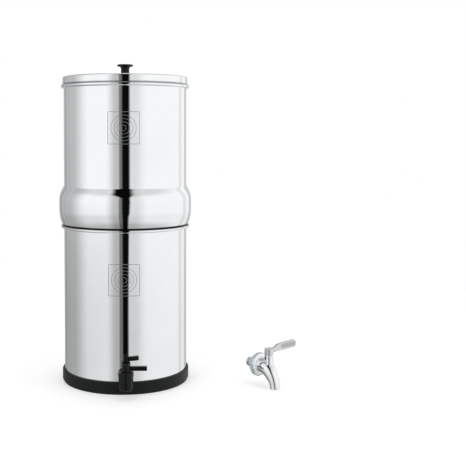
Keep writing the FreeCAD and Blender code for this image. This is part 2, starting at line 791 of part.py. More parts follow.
slot_span = "(QuarterTurn + 2 * asin(PinRadius / PinCircle) / 1 deg + 2 * SlotClearance)"
slot_start = value("PinAngle") - value("QuarterTurn") - (
    math.degrees(math.asin(value("PinRadius / PinCircle"))) + value("SlotClearance"))
slot_outer = cylinder("slot_sector", "TowerRadius * 1.5", "SlotHeight * 2", "TowerReach",
                      "TowerTop - SlotHeight", angle=slot_span)
slot_outer.Placement.Rotation = FreeCAD.Rotation(FreeCAD.Vector(0, 0, 1), slot_start)
slot_inner = cylinder("slot_core", "SlotInnerRadius", "SlotHeight * 3", "TowerReach",
                      "TowerTop - SlotHeight * 2")
hollows = fused("tap_hollows", [
    cylinder("stem_waterway", "SteelWaterway", "SteelStemLength + TowerReach + HubGap",
             "-SteelStemLength - HubGap", "0", forward=True),
    cylinder("spindle_bore", "SpindleRadius + SpindleGap", "TowerTop + SpindleFoot + HubGap",
             "TowerReach", "-SpindleFoot"),
    beak_loft("spout_way", BEAK_SECTIONS[2:], "SpoutWall"),
    cylinder("mouth_hollow", "MouthRadius - MouthWall", "MouthDrop / 3", "MouthReach",
             "-MouthDrop - HubGap"),
])
steel_body = cut("steel_body", cut("tap_without_slot", beak, hollows),
                 cut("stop_slot", slot_outer, slot_inner))
steel_body.Label = "steel_tap_body"
steel_body.Placement = loose_place


def stem_ring(label, corners):
    """A ring turned about the stem's axis: corners are (distance behind the washer, radius)."""
    body = new_body(label)
    turned(body, label + "_section", corners, plane="YZ_Plane", axis="H_Axis")
    body.Placement = loose_place
    return body


stem_bore = "SteelStemRadius + StemGap / 2"
steel_washer = stem_ring("steel_tap_washer", [
    ("-SteelWasherHeight / 2", stem_bore),
    ("-SteelWasherHeight / 2", "SteelWasherRadius - SteelWasherBevel"),
    ("-SteelWasherHeight / 2 + SteelWasherBevel", "SteelWasherRadius"),
    ("SteelWasherHeight / 2", "SteelWasherRadius"),
    ("SteelWasherHeight / 2", stem_bore),
])
steel_flange = stem_ring("steel_tap_flange", [
    ("-SteelFlangeBack", stem_bore),
    ("-SteelFlangeBack", "SteelFlangeRadius"),
    ("-SteelFlangeBack - SteelFlangeEdge", "SteelFlangeRadius", "SteelFlangeEdge / 2"),
    ("-SteelFlangeFront + CollarHeight", "CollarRadius + CollarHeight", "CollarHeight / 2"),
    ("-SteelFlangeFront + CollarHeight", "CollarRadius"),
    ("-SteelFlangeFront", "CollarRadius", "CollarHeight / 3"),
    ("-SteelFlangeFront", stem_bore),
])
inner_start = "(SteelWasherHeight / 2 + SeatGap)"
steel_inner_washer = stem_ring("steel_tap_inner_washer", [
    (inner_start, stem_bore),
    (inner_start, "SteelInnerWasherRadius"),
    (f"{inner_start} + SteelInnerWasherHeight", "SteelInnerWasherRadius"),
    (f"{inner_start} + SteelInnerWasherHeight", stem_bore),
])
steel_nut = doc.addObject("Part::Feature", "steel_tap_nut")
nut_solid = hexagon_nut(value("SteelNutRadius"), value("SteelNutHeight"), value(stem_bore))
nut_solid.Placement = FreeCAD.Placement(
    FreeCAD.Vector(0, value(f"{inner_start} + SteelInnerWasherHeight"), 0),
    FreeCAD.Rotation(FreeCAD.Vector(1, 0, 0), -90))
steel_nut.Shape = nut_solid
steel_nut.Placement = loose_place.multiply(steel_nut.Placement)

spindle_seal_mid = "(TowerTop - SlotHeight - 3 * SpindleSealRadius)"
spindle = new_body("steel_tap_spindle")
turned(spindle, "spindle_section", [
    (0, "-SpindleFoot + SeatGap"),
    ("SpindleRadius", "-SpindleFoot + SeatGap"),
    ("SpindleRadius", f"{spindle_seal_mid} - SpindleSealRadius"),
    ("SpindleRadius - SpindleSealRadius", f"{spindle_seal_mid} - SpindleSealRadius"),
    ("SpindleRadius - SpindleSealRadius", f"{spindle_seal_mid} + SpindleSealRadius"),
    ("SpindleRadius", f"{spindle_seal_mid} + SpindleSealRadius"),
    ("SpindleRadius", "HubTop - CapHeight - CapSink - SeatGap"),
    (0, "HubTop - CapHeight - CapSink - SeatGap"),
])
spindle_way_outline = draw_circle(
    new_sketch(spindle, "spindle_way_outline", "YZ_Plane"), 0, 0, "SpindleBore")
spindle_way = spindle.newObject("PartDesign::Pocket", "spindle_way")
spindle_way.Profile = spindle_way_outline
spindle_way.Type = "Length"
spindle_way.SideType = "Symmetric"
bind(spindle_way, Length="SpindleRadius * 4")

spindle_seal = turned_ring(
    "steel_tap_spindle_seal", "SpindleRadius - SpindleSealRadius + SpindleGap", "SpindleRadius",
    f"{spindle_seal_mid} - SpindleSealRadius + SpindleGap",
    f"{spindle_seal_mid} + SpindleSealRadius - SpindleGap")

steel_lever = new_body("steel_tap_lever")
turned(steel_lever, "hub_section", [
    ("SpindleRadius", "HubFoot"),
    ("HubRadius", "HubFoot"),
    ("HubRadius", "HubTop", "HubRounding"),
    ("CapRadius + CapGap", "HubTop"),
    ("CapRadius + CapGap", "HubTop - CapHeight - CapSink"),
    ("SpindleRadius", "HubTop - CapHeight - CapSink"),
])
paddle_rounding = "(PaddleHeight - PaddleEndFlat) / 2"
paddle_outline = draw_outline(new_sketch(steel_lever, "paddle_side"), [
    ("HubRadius - HubRounding", "PaddleFoot"),
    ("PaddleReach", "PaddleEndFoot", paddle_rounding),
    ("PaddleReach", "PaddleEndTop", paddle_rounding),
    ("PaddleShoulder", "PaddleEndTop - PaddleDip", "PaddleShoulder / 2"),
    ("PaddleNeck", "PaddleNeckTop", "PaddleNeck / 2"),
    ("HubRadius - HubRounding", "PaddleNeckTop"),
])
paddle = steel_lever.newObject("PartDesign::Pad", "paddle")
paddle.Profile = paddle_outline
paddle.SideType = "Symmetric"
bind(paddle, Length="PaddleThickness")
panel_rounding = f"{paddle_rounding} - PanelInset"
panel_outline = draw_outline(new_sketch(steel_lever, "panel_side"), [
    ("PanelStart", "PaddleEndFoot + PanelInset - PaddleRise / 2", panel_rounding),
    ("PaddleReach - PanelInset", "PaddleEndFoot + PanelInset", panel_rounding),
    ("PaddleReach - PanelInset", "PaddleEndTop - PanelInset", panel_rounding),
    ("PanelStart", "PaddleEndTop - PanelInset - PaddleRise / 2", panel_rounding),
])
bind(panel_outline, **{"AttachmentOffset.Base.z": "PaddleThickness / 2"})
panel = steel_lever.newObject("PartDesign::Pocket", "panel")
panel.Profile = panel_outline
panel.Type = "Length"
bind(panel, Length="PanelDepth")

cap = doc.addObject("Part::Feature", "steel_tap_cap_screw")
cap_foot = FreeCAD.Vector(0, 0, value("HubTop - CapHeight - CapSink"))
cap_disc = Part.makeCylinder(value("CapRadius"), value("CapHeight"), cap_foot)
cap_disc = cap_disc.makeFillet(value("CapSink"), [cap_disc.Edges[0]])
socket_corners = [FreeCAD.Vector(value("SocketRadius") * math.cos(math.radians(60 * i)),
                                 value("SocketRadius") * math.sin(math.radians(60 * i)),
                                 value("HubTop - CapSink")) for i in range(7)]
socket = Part.Face(Part.makePolygon(socket_corners)).extrude(
    FreeCAD.Vector(0, 0, -value("SocketDepth")))
cap.Shape = cap_disc.cut(socket)

pin = doc.addObject("Part::Feature", "steel_tap_stop_pin")
pin_foot = FreeCAD.Vector(
    value("PinCircle") * math.cos(math.radians(value("PinAngle"))),
    value("PinCircle") * math.sin(math.radians(value("PinAngle"))),
    value("TowerTop - PinSink"))
pin.Shape = Part.makeCylinder(value("PinRadius"), value("PinSink + HubGap"), pin_foot)

for piece in (spindle, spindle_seal, steel_lever, cap, pin):
    piece.Placement = loose_place.multiply(tower_place)

sub_parts = [
    lower_chamber, base_ring, upper_chamber, lid, lid_knob, knob_washer, knob_screw,
    *candle_shells, *candle_bases, candle_seals, candle_wing_nuts,
    tap_body, tap_plug, plug_seal, tap_lever, tap_washer, tap_inner_washer, tap_nut,
    steel_body, steel_washer, steel_flange, steel_inner_washer, steel_nut, spindle,
    spindle_seal, steel_lever, cap, pin,
]

doc.recompute()
for item in doc.Objects:
    if "Invalid" in item.State or "Error" in item.State:
        raise RuntimeError(f"{item.Label} failed: {item.State}")
for piece in sub_parts:
    if piece.Shape.isNull() or not piece.Shape.isValid():
        raise RuntimeError(f"{piece.Label} has no valid shape")

os.makedirs("parts", exist_ok=True)
for piece in sub_parts:
    piece.Shape.exportStep(os.path.join("parts", piece.Label + ".step"))
    print(f"{piece.Label}: {len(piece.Shape.Solids)} solid(s), {piece.Shape.Volume:.0f} mm3")
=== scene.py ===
import json
import math

import bmesh
import bpy
from mathutils import Matrix, Vector

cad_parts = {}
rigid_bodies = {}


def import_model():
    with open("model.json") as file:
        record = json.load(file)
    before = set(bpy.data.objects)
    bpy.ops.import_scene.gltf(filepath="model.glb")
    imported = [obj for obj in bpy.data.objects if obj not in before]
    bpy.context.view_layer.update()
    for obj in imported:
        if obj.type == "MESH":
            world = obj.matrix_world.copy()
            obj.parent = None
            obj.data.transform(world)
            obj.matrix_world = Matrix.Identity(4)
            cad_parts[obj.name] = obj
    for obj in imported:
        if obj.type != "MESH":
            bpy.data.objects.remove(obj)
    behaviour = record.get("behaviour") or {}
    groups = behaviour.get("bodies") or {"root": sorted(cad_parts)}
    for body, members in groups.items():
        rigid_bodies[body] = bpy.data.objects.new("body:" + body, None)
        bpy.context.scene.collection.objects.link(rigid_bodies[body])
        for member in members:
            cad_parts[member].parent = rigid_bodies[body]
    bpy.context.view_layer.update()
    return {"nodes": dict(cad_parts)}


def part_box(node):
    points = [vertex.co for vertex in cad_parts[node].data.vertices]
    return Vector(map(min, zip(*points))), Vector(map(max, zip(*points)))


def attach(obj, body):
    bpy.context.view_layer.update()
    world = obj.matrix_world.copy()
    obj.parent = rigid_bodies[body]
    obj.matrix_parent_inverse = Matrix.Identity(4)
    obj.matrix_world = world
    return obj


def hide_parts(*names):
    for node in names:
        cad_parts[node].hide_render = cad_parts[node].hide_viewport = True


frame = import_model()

# A steel gravity water filter with its fitted black tap, and a loose steel lever tap beside it.
# Outlines are in millimetres and become metres when a piece is finished.

mm = 0.001
print("frame loaded")


# Shader maths

class Wire:
    # a socket of a shader tree, with the usual operators

    def __init__(self, shading, socket):
        self.shading = shading
        self.socket = socket

    def math(self, operation, *others):
        return self.shading.add("ShaderNodeMath", {"operation": operation}, [self, *others])

    def __add__(self, other):
        return self.math("ADD", other)

    def __sub__(self, other):
        return self.math("SUBTRACT", other)

    def __rsub__(self, other):
        return self.shading.add("ShaderNodeMath", {"operation": "SUBTRACT"}, [other, self])

    def __mul__(self, other):
        return self.math("MULTIPLY", other)

    def __truediv__(self, other):
        return self.math("DIVIDE", other)

    def __pow__(self, other):
        return self.math("POWER", other)

    __radd__ = __add__
    __rmul__ = __mul__

    def between(self, low, high):
        # 0 below low, 1 above high, smooth between
        return self.shading.add("ShaderNodeMapRange", {"interpolation_type": "SMOOTHSTEP"},
                                [self, low, high, 0.0, 1.0])


class Shading:
    # a shader tree under construction

    def __init__(self, tree):
        self.tree = tree

    def add(self, kind, settings=None, values=(), output=0):
        # one node: its settings come first, then the values or links of its sockets
        node = self.tree.nodes.new(kind)
        for key, setting in (settings or {}).items():
            setattr(node, key, setting)
        sockets = values.items() if isinstance(values, dict) else enumerate(values)
        for key, value in sockets:
            self.feed(node.inputs[key], value)
        return Wire(self, node.outputs[output])

    def feed(self, socket, value):
        if isinstance(value, Wire):
            self.tree.links.new(value.socket, socket)
        elif isinstance(value, tuple) and len(socket.default_value) == 4:
            socket.default_value = (*value, 1.0)
        else:
            socket.default_value = value

    def coordinates(self):
        return self.add("ShaderNodeTexCoord", output="Object")

    def axes(self):
        split = self.add("ShaderNodeSeparateXYZ", {}, [self.coordinates()])
        return [Wire(self, output) for output in split.socket.node.outputs]

    def noise(self, scale, detail, roughness=0.5, stretch=(1, 1, 1)):
        placed = self.add("ShaderNodeMapping", {}, {
            "Vector": self.coordinates(), "Scale": stretch})
        return self.add("ShaderNodeTexNoise", {}, {
            "Vector": placed, "Scale": scale, "Detail": detail, "Roughness": roughness})

    def mix(self, factor, first, second):
        # a Mix node keeps its two colours at 6 and 7 and gives the mixed one at 2
        return self.add("ShaderNodeMix", {"data_type": "RGBA"},
                        {"Factor": factor, 6: first, 7: second}, output=2)

    def bump(self, height, distance, strength, under=None):
        values = {"Height": height, "Distance": distance, "Strength": strength}
        if under is not None:
            values["Normal"] = under
        return self.add("ShaderNodeBump", {}, values)

    def rays(self, *kinds):
        # 1 for a ray of one of the kinds, otherwise 0
        found = [self.add("ShaderNodeLightPath", output=f"Is {kind} Ray") for kind in kinds]
        either = found[0]
        for other in found[1:]:
            either = either.math("MAXIMUM", other)
        return either


class Finish(Shading):
    # a material under construction

    def __init__(self, name, sockets):
        self.material = bpy.data.materials.new(name)
        self.material.use_nodes = True
        super().__init__(self.material.node_tree)
        self.shader = self.tree.nodes["Principled BSDF"]
        self.surface(sockets)

    def surface(self, sockets):
        for name, value in sockets.items():
            self.feed(self.shader.inputs[name], value)
        return self.material

    def showInstead(self, shader):
        self.feed(self.tree.nodes["Material Output"].inputs["Surface"], shader)
        return self.material


# Finishes. A noise is (scale, detail, roughness, stretch), with its scale in patches per metre,
# and a bump is (distance in metres, strength).

mirrorLook = {
    "clean": (0.855, 0.864, 0.874), "bloomed": (0.82, 0.83, 0.842),
    "waves": (22.0, 1.0, 0.5, (1, 1, 0.35)), "waveBump": (0.0006, 0.15),
    "streaks": (3.0, 4.0, 0.5, (6, 6, 320)), "streakBump": (0.00002, 0.2),
    "bloom": (9.0, 5.0, 0.6), "bloomColour": (0.35, 0.7), "bloomDulling": (0.45, 0.75),
    "roughness": 0.024, "streakRoughness": 0.012, "bloomRoughness": 0.012,
    # painted shade in the crevice at each chamber's rim joint: how dark it is, and how far that
    # reaches
    "paintedJointShade": {"lower_chamber": 1.0, "upper_chamber": 0.5}, "paintedShadeColour": (0.03, 0.031, 0.033),
    "paintedShadeReach": (0.0009, 0.0026),
}


def mirrorSteel():
    # polished sheet: faint drawn waves, buffing streaks round the wall and a little bloom
    look = mirrorLook
    finish = Finish("mirrorSteel", {"Metallic": 1.0})
    waves = finish.noise(*look["waves"])
    streaks = finish.noise(*look["streaks"])
    bloom = finish.noise(*look["bloom"])
    colour = finish.mix(bloom.between(*look["bloomColour"]), look["clean"], look["bloomed"])
    gloss = (look["roughness"] + streaks * look["streakRoughness"]
             + bloom.between(*look["bloomDulling"]) * look["bloomRoughness"])
    height = finish.axes()[2]
    # painted shade in the crevice round each node's top edge, full close to it and fading out
    # further away
    for node, strength in look["paintedJointShade"].items():
        away = (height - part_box(node)[1][2]).math("ABSOLUTE")
        paintedJointShade = strength - away.between(*look["paintedShadeReach"]) * strength
        colour = finish.mix(paintedJointShade, colour, look["paintedShadeColour"])
    normal = finish.bump(waves, *look["waveBump"])
    normal = finish.bump(streaks, *look["streakBump"], normal)
    return finish.surface({"Base Color": colour, "Roughness": gloss, "Normal": normal})


innerLook = {
    "dark": (0.56, 0.57, 0.58), "light": (0.68, 0.69, 0.7), "mark": (0.5, 0.505, 0.5),
    "drawn": (3.0, 4.0, 0.5, (8, 8, 420)), "drawnBump": (0.00003, 0.4),
    "marks": (26.0, 5.0, 0.6), "markRange": (0.52, 0.7), "markStrength": 0.35,
    "roughness": 0.34, "spread": 0.14,
}


def innerSteel():
    # the chambers' unpolished inside: a drawn satin sheet with water marks
    look = innerLook
    finish = Finish("innerSteel", {"Metallic": 0.55})
    drawn = finish.noise(*look["drawn"])
    marks = finish.noise(*look["marks"]).between(*look["markRange"])
    colour = finish.mix(drawn, look["dark"], look["light"])
    colour = finish.mix(marks * look["markStrength"], colour, look["mark"])
    return finish.surface({
        "Base Color": colour, "Roughness": look["roughness"] + drawn * look["spread"],
        "Normal": finish.bump(drawn, *look["drawnBump"])})


ceramicLook = {
    "clean": (0.86, 0.84, 0.78), "stained": (0.76, 0.72, 0.64), "pitted": (0.6, 0.57, 0.5),
    "pits": (1400.0, 4.0, 0.65), "pitBump": (0.00025, 0.5), "pitRange": (0.6, 0.75),
    "pitStrength": 0.5, "lines": (4.0, 2.0, 0.5, (2, 2, 260)), "lineBump": (0.0002, 0.3),
    "stain": (18.0, 5.0), "stainRange": (0.4, 0.75), "roughness": 0.8, "spread": 0.15,
}


def candleCeramic():
    # porous fired ceramic: chalky, with fine pits and faint throwing lines
    look = ceramicLook
    finish = Finish("candleCeramic", {"Specular IOR Level": 0.25})
    pits = finish.noise(*look["pits"])
    lines = finish.noise(*look["lines"])
    stain = finish.noise(*look["stain"]).between(*look["stainRange"])
    colour = finish.mix(stain, look["clean"], look["stained"])
    colour = finish.mix(
        pits.between(*look["pitRange"]) * look["pitStrength"], colour, look["pitted"])
    normal = finish.bump(lines, *look["lineBump"])
    normal = finish.bump(pits, *look["pitBump"], normal)
    return finish.surface({
        "Base Color": colour, "Roughness": look["roughness"] + pits * look["spread"],
        "Normal": normal})


# the least roughness comes before its spread; these are metals unless their sockets say otherwise
plainLooks = {
    # bead-blasted steel with a fine even grain
    "satinSteel": {
        "dark": (0.62, 0.63, 0.64), "light": (0.7, 0.71, 0.72), "mottle": (160.0, 3.0),
        "roughness": (0.27, 0.1), "skin": (5200.0, 2.0), "bump": (0.00004, 0.5)},
    # the loose lever's recessed panel, blasted coarser and darker than the rest
    "panelSteel": {
        "dark": (0.4, 0.41, 0.42), "light": (0.55, 0.56, 0.57), "mottle": (3600.0, 3.0),
        "roughness": (0.36, 0.12), "bump": (0.00006, 0.6)},
    # the loose tap's hand-polished body
    "polishedCasting": {
        "dark": (0.8, 0.81, 0.82), "light": (0.86, 0.87, 0.88), "mottle": (60.0, 2.0),
        "haze": (900.0, 3.0), "roughness": (0.05, 0.03), "bump": (0.0003, 0.25)},
    # a cut thread with a little dirt
    "threadSteel": {
        "dark": (0.5, 0.51, 0.5), "light": (0.74, 0.75, 0.74), "mottle": (700.0, 4.0),
        "roughness": (0.24, 0.16)},
    # the raised lines of the emblems, with a fine matt etch
    "etchedSteel": {
        "dark": (0.36, 0.365, 0.37), "light": (0.5, 0.505, 0.51), "mottle": (2600.0, 3.0),
        "roughness": (0.34, 0.1), "bump": (0.00005, 0.5)},
    # moulded black plastic with a soft shine
    "blackPlastic": {
        "sockets": {"Specular IOR Level": 0.17, "Coat Weight": 0.04, "Coat Roughness": 0.12},
        "dark": (0.003, 0.0033, 0.0037), "light": (0.009, 0.0098, 0.0105),
        "mottle": (90.0, 4.0), "roughness": (0.2, 0.14), "skin": (420.0, 2.0),
        "bump": (0.00008, 0.4)},
    # charcoal rubber with a faint moulding sheen and a fine skin
    "baseRubber": {
        "sockets": {"Specular IOR Level": 0.2}, "dark": (0.004, 0.005, 0.0055),
        "light": (0.009, 0.011, 0.012), "mottle": (14.0, 4.0, 0.5, (1, 1, 8)),
        "roughness": (0.36, 0.2), "skin": (1500.0, 3.0), "bump": (0.00008, 0.45)},
    "washerRubber": {
        "sockets": {}, "dark": (0.7, 0.7, 0.68), "light": (0.82, 0.82, 0.8),
        "mottle": (1200.0, 2.0), "roughness": (0.5, 0.1)},
    # clear blue silicone that glows a little where it is thin
    "blueSilicone": {
        "sockets": {"Subsurface Weight": 0.35, "Subsurface Radius": (0.004, 0.006, 0.008),
                    "Transmission Weight": 0.25, "IOR": 1.41},
        "dark": (0.55, 0.73, 0.79), "light": (0.69, 0.83, 0.87), "mottle": (120.0, 3.0),
        "roughness": (0.26, 0.12), "bump": (0.0002, 0.2)},
    "candlePlastic": {
        "sockets": {"Specular IOR Level": 0.45}, "dark": (0.74, 0.77, 0.8),
        "light": (0.84, 0.86, 0.88), "mottle": (900.0, 2.0), "roughness": (0.36, 0.12),
        "bump": (0.00006, 0.4)},
}


def plainFinish(name):
    # two shades in a mottle; roughness and bump follow it, or a noise of their own
    look = plainLooks[name]
    finish = Finish(name, look.get("sockets", {"Metallic": 1.0}))
    mottle = finish.noise(*look["mottle"])
    haze = finish.noise(*look["haze"]) if "haze" in look else mottle
    least, spread = look["roughness"]
    finish.surface({
        "Base Color": finish.mix(mottle, look["dark"], look["light"]),
        "Roughness": least + haze * spread})
    if "bump" in look:
        skin = finish.noise(*look["skin"]) if "skin" in look else mottle
        finish.surface({"Normal": finish.bump(skin, *look["bump"])})
    return finish.material


mirror = mirrorSteel()
inside = innerSteel()
ceramic = candleCeramic()
satin = plainFinish("satinSteel")
panel = plainFinish("panelSteel")
casting = plainFinish("polishedCasting")
threads = plainFinish("threadSteel")
etched = plainFinish("etchedSteel")
black = plainFinish("blackPlastic")
rubber = plainFinish("baseRubber")
washer = plainFinish("washerRubber")
silicone = plainFinish("blueSilicone")
moulding = plainFinish("candlePlastic")
print("finishes made")


# Mesh helpers

wedgeCount = 8          # a spin is made as this many equal wedges, which is quicker
weldDistance = 0.002    # points closer than this become one
sharpAngle = 32         # an edge that turns further, in degrees, stays sharp
bevelSegments = 4
arcCount = 64           # steps that a full turn of a corner's rounding would take
fineArcs = 96
wallArcs = 128
wallSteps = 256         # steps of a spin round the chambers, lid and base ring
fineSteps = 128
turnedSteps = 96
smallSteps = 72


def rounded(corners, arcSteps):
    # points of an outline whose corners are (across, up) or (across, up, rounding)
    points = [Vector((corner[0], 0, corner[1])) for corner in corners]
    path = []
    for i, corner in enumerate(corners):
        here = points[i]
        if len(corner) < 3:
            path.append(here)
            continue
        back = (points[i - 1] - here).normalized()
        ahead = (points[(i + 1) % len(points)] - here).normalized()
        half = back.angle(ahead) / 2
        radius = corner[2]
        centre = here + (back + ahead).normalized() * (radius / math.sin(half))
        start = here + back * (radius / math.tan(half)) - centre
        turn = math.pi - 2 * half
        axis = start.cross(here - centre).normalized()
        count = max(2, math.ceil(arcSteps * turn / (2 * math.pi)))
        for step in range(count + 1):
            path.append(centre + Matrix.Rotation(turn * step / count, 3, axis) @ start)
    return path


def outlineEdges(bm, corners, closed=True, arcSteps=arcCount):
    verts = [bm.verts.new(point) for point in rounded(corners, arcSteps)]
    pairs = list(zip(verts, verts[1:]))
    if closed:
        pairs.append((verts[-1], verts[0]))
    return verts, [bm.edges.new(pair) for pair in pairs]


def vertsOf(grown):
    return [item for item in grown["geom"] if isinstance(item, bmesh.types.BMVert)]


def edgesOf(grown):
    return [item for item in grown["geom"] if isinstance(item, bmesh.types.BMEdge)]


def closeEnds(bm):
    bmesh.ops.holes_fill(bm, edges=[edge for edge in bm.edges if edge.is_boundary], sides=0)


def faceOutwards(bm):
    bmesh.ops.recalc_face_normals(bm, faces=bm.faces)


def lifted(height):
    return Matrix.Translation((0, 0, height))


def joinInto(bm, other):
    scrap = bpy.data.meshes.new("scrap")
    other.to_mesh(scrap)
    other.free()
    bm.from_mesh(scrap)
    bpy.data.meshes.remove(scrap)


def spun(bm, corners, steps, angle=360, arcSteps=arcCount):
    # spins an outline about the Z axis into the bmesh; one that starts and ends on the axis
    # isn't closed along it
    onAxis = corners[0][0] == 0 and corners[-1][0] == 0
    wedge = bmesh.new()
    verts, edges = outlineEdges(wedge, corners, not onAxis, arcSteps)
    share = math.radians(angle) / wedgeCount
    about = {"cent": (0, 0, 0), "axis": (0, 0, 1), "dvec": (0, 0, 0), "use_merge": False}
    bmesh.ops.spin(wedge, geom=verts + edges, angle=share, steps=steps // wedgeCount,
                   use_duplicate=False, **about)
    bmesh.ops.spin(wedge, geom=[*wedge.verts, *wedge.edges, *wedge.faces],
                   angle=share * (wedgeCount - 1), steps=wedgeCount - 1,
                   use_duplicate=True, **about)
    bmesh.ops.remove_doubles(wedge, verts=wedge.verts, dist=weldDistance)
    closeEnds(wedge)
    joinInto(bm, wedge)
    return bm


# the first two are shares of the pitch, and the third is the ridge's share that is sunk in
threadForm = {"firstTurn": 0.5, "halfWidth": 0.45, "sink": 0.8, "stepsPerTurn": 28}


def coil(bm, radius, pitch, length, ridge, foot):
    # a screw thread's ridge as one closed coil about the Z axis
    form = threadForm
    middle = foot + pitch * form["firstTurn"]
    half = pitch * form["halfWidth"]
    root = radius - ridge * form["sink"]
    turns = (length - pitch) / pitch
    steps = int(turns * form["stepsPerTurn"])
    ridgeOnly = bmesh.new()
    verts, edges = outlineEdges(ridgeOnly, [
        (root, middle - half), (radius + ridge, middle), (root, middle + half)])
    bmesh.ops.spin(
        ridgeOnly, geom=verts + edges, cent=(0, 0, 0), axis=(0, 0, 1),
        dvec=(0, 0, pitch * turns / steps), angle=2 * math.pi * turns, steps=steps,
        use_merge=False, use_duplicate=False)
    closeEnds(ridgeOnly)
    joinInto(bm, ridgeOnly)


def hexagon(bm, circumradius, foot, top, bore, chamfer=1.0):
    # a hexagonal nut about the Z axis with turned-off corners and a bored middle
    spun(bm, [
        (bore, foot), (circumradius - chamfer, foot), (circumradius, foot + chamfer / 2),
        (circumradius, top - chamfer / 2), (circumradius - chamfer, top), (bore, top)],
        turnedSteps)
    flat = circumradius * math.cos(math.radians(30))
    for side in range(6):
        normal = Matrix.Rotation(math.radians(60 * side + 30), 3, "Z") @ Vector((1, 0, 0))
        sliced = bmesh.ops.bisect_plane(
            bm, geom=[*bm.verts, *bm.edges, *bm.faces], plane_co=normal * flat,
            plane_no=normal, clear_outer=True)
        rim = [item for item in sliced["geom_cut"] if isinstance(item, bmesh.types.BMEdge)]
        bmesh.ops.holes_fill(bm, edges=rim, sides=0)


def addObject(name, data):
    made = bpy.data.objects.new(name, data)
    bpy.context.scene.collection.objects.link(made)
    return made


def meshFrom(name, bm, materials):
    mesh = bpy.data.meshes.new(name)
    bm.to_mesh(mesh)
    bm.free()
    for material in materials:
        mesh.materials.append(material)
    return mesh


def finished(name, bm, materials, body, nodes=(), place=Matrix.Identity(4),
             recalculate=True):
    # closes the bmesh into a smooth object, in metres, that rides on its body
    bmesh.ops.remove_doubles(bm, verts=bm.verts, dist=weldDistance)
    if recalculate:
        faceOutwards(bm)
    bmesh.ops.transform(bm, matrix=place @ Matrix.Scale(mm, 4), verts=bm.verts)
    mesh = meshFrom(name, bm, materials)
    mesh.shade_smooth()
    mesh.set_sharp_from_angle(angle=math.radians(sharpAngle))
    piece = addObject(name, mesh)
    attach(piece, body)
    if nodes:
        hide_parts(*nodes)


def spunPiece(name, corners, material, body, nodes, place=Matrix.Identity(4),
              steps=turnedSteps, arcSteps=arcCount):
    bm = spun(bmesh.new(), corners, steps, arcSteps=arcSteps)
    finished(name, bm, [material], body, nodes, place)


def millimetres(node):
    low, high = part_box(node)
    return Vector(low) / mm, Vector(high) / mm


# Chambers, lid and base ring

shellSizes = {
    "sheet": 0.9, "radius": 101.0, "beadReach": 4.5, "beadHeight": 5.6, "beadRounding": 2.0,
    "beadRoot": 0.6, "lipRounding": 0.4, "floorRounding": 8.0, "ledgeGap": 0.3,
    "ledgeReach": 3.0, "ledgeRounding": 1.5, "bulgeReach": 8.0, "bulgeStart": 14.0,
    "bulgeEnd": 49.0, "bulgeTop": 63.0, "bulgeRounding": 62.0, "shoulderRounding": 34.0,
    "creaseRounding": 7.0, "spigotGap": 0.8, "polishedRim": 1.0,
    # a face is inside when its normal leans this far towards the axis, or this far upwards
    "towardsAxis": 0.3, "upwards": 0.5,
}
lowerLow, lowerHigh = millimetres("lower_chamber")
upperLow, upperHigh = millimetres("upper_chamber")
ledgeHeight = lowerHigh.z + shellSizes["ledgeGap"]


def makeShell(name, corners, body, node, top):
    # a chamber's spun sheet, unpolished on the inside up to its polished rim
    s = shellSizes
    bm = spun(bmesh.new(), corners, wallSteps, arcSteps=wallArcs)
    faceOutwards(bm)
    for face in bm.faces:
        centre = face.calc_center_median()
        outward = face.normal.dot(Vector((centre.x, centre.y, 0)).normalized())
        inward = outward < -s["towardsAxis"] or (
            outward < s["towardsAxis"] and face.normal.z > s["upwards"])
        face.material_index = int(inward and centre.z < top - s["polishedRim"])
    finished(name, bm, [mirror, inside], body, [node])


def beadCorners(top):
    s = shellSizes
    wall = s["radius"]
    reach = wall + s["beadReach"]
    foot = top - s["beadHeight"]
    return [
        (wall, foot, s["beadRoot"]), (reach, foot, s["beadRounding"]),
        (reach, top, s["beadRounding"]), (wall - s["sheet"], top, s["lipRounding"])]


def makeLowerChamber():
    s = shellSizes
    sheet = s["sheet"]
    foot = lowerLow.z
    makeShell("lowerShell", [
        (0, foot), (s["radius"], foot, s["floorRounding"]), *beadCorners(lowerHigh.z),
        (s["radius"] - sheet, foot + sheet, s["floorRounding"] - sheet), (0, foot + sheet)],
        "lower_unit", "lower_chamber", lowerHigh.z)


def makeUpperChamber():
    s = shellSizes
    sheet = s["sheet"]
    foot = upperLow.z
    inner = s["radius"] - sheet
    spigot = inner - s["spigotGap"]
    ledge = s["radius"] + s["ledgeReach"]
    bulge = s["radius"] + s["bulgeReach"]
    bulgeStart = ledgeHeight + s["bulgeStart"]
    bulgeEnd = ledgeHeight + s["bulgeEnd"]
    crease = ledgeHeight + s["bulgeTop"]
    makeShell("upperShell", [
        (0, foot), (spigot, foot, s["floorRounding"]), (spigot, ledgeHeight),
        (ledge, ledgeHeight, s["ledgeRounding"]), (bulge, bulgeStart, s["bulgeRounding"]),
        (bulge, bulgeEnd, s["shoulderRounding"]), (s["radius"], crease, s["creaseRounding"]),
        *beadCorners(upperHigh.z),
        (inner, crease, s["creaseRounding"] + sheet),
        (bulge - sheet, bulgeEnd, s["shoulderRounding"] - sheet),
        (bulge - sheet, bulgeStart, s["bulgeRounding"] - sheet),
        (ledge - sheet, ledgeHeight + sheet), (spigot - sheet, ledgeHeight + sheet),
        (spigot - sheet, foot + sheet, s["floorRounding"] - sheet), (0, foot + sheet)],
        "upper_unit", "upper_chamber", upperHigh.z)


lidSizes = {"radius": 102.8, "rounding": 2.4, "skirtRadius": 99.5, "skirtDepth": 10.0,
            "height": 12.5, "footRounding": 0.4, "hole": 2.25}


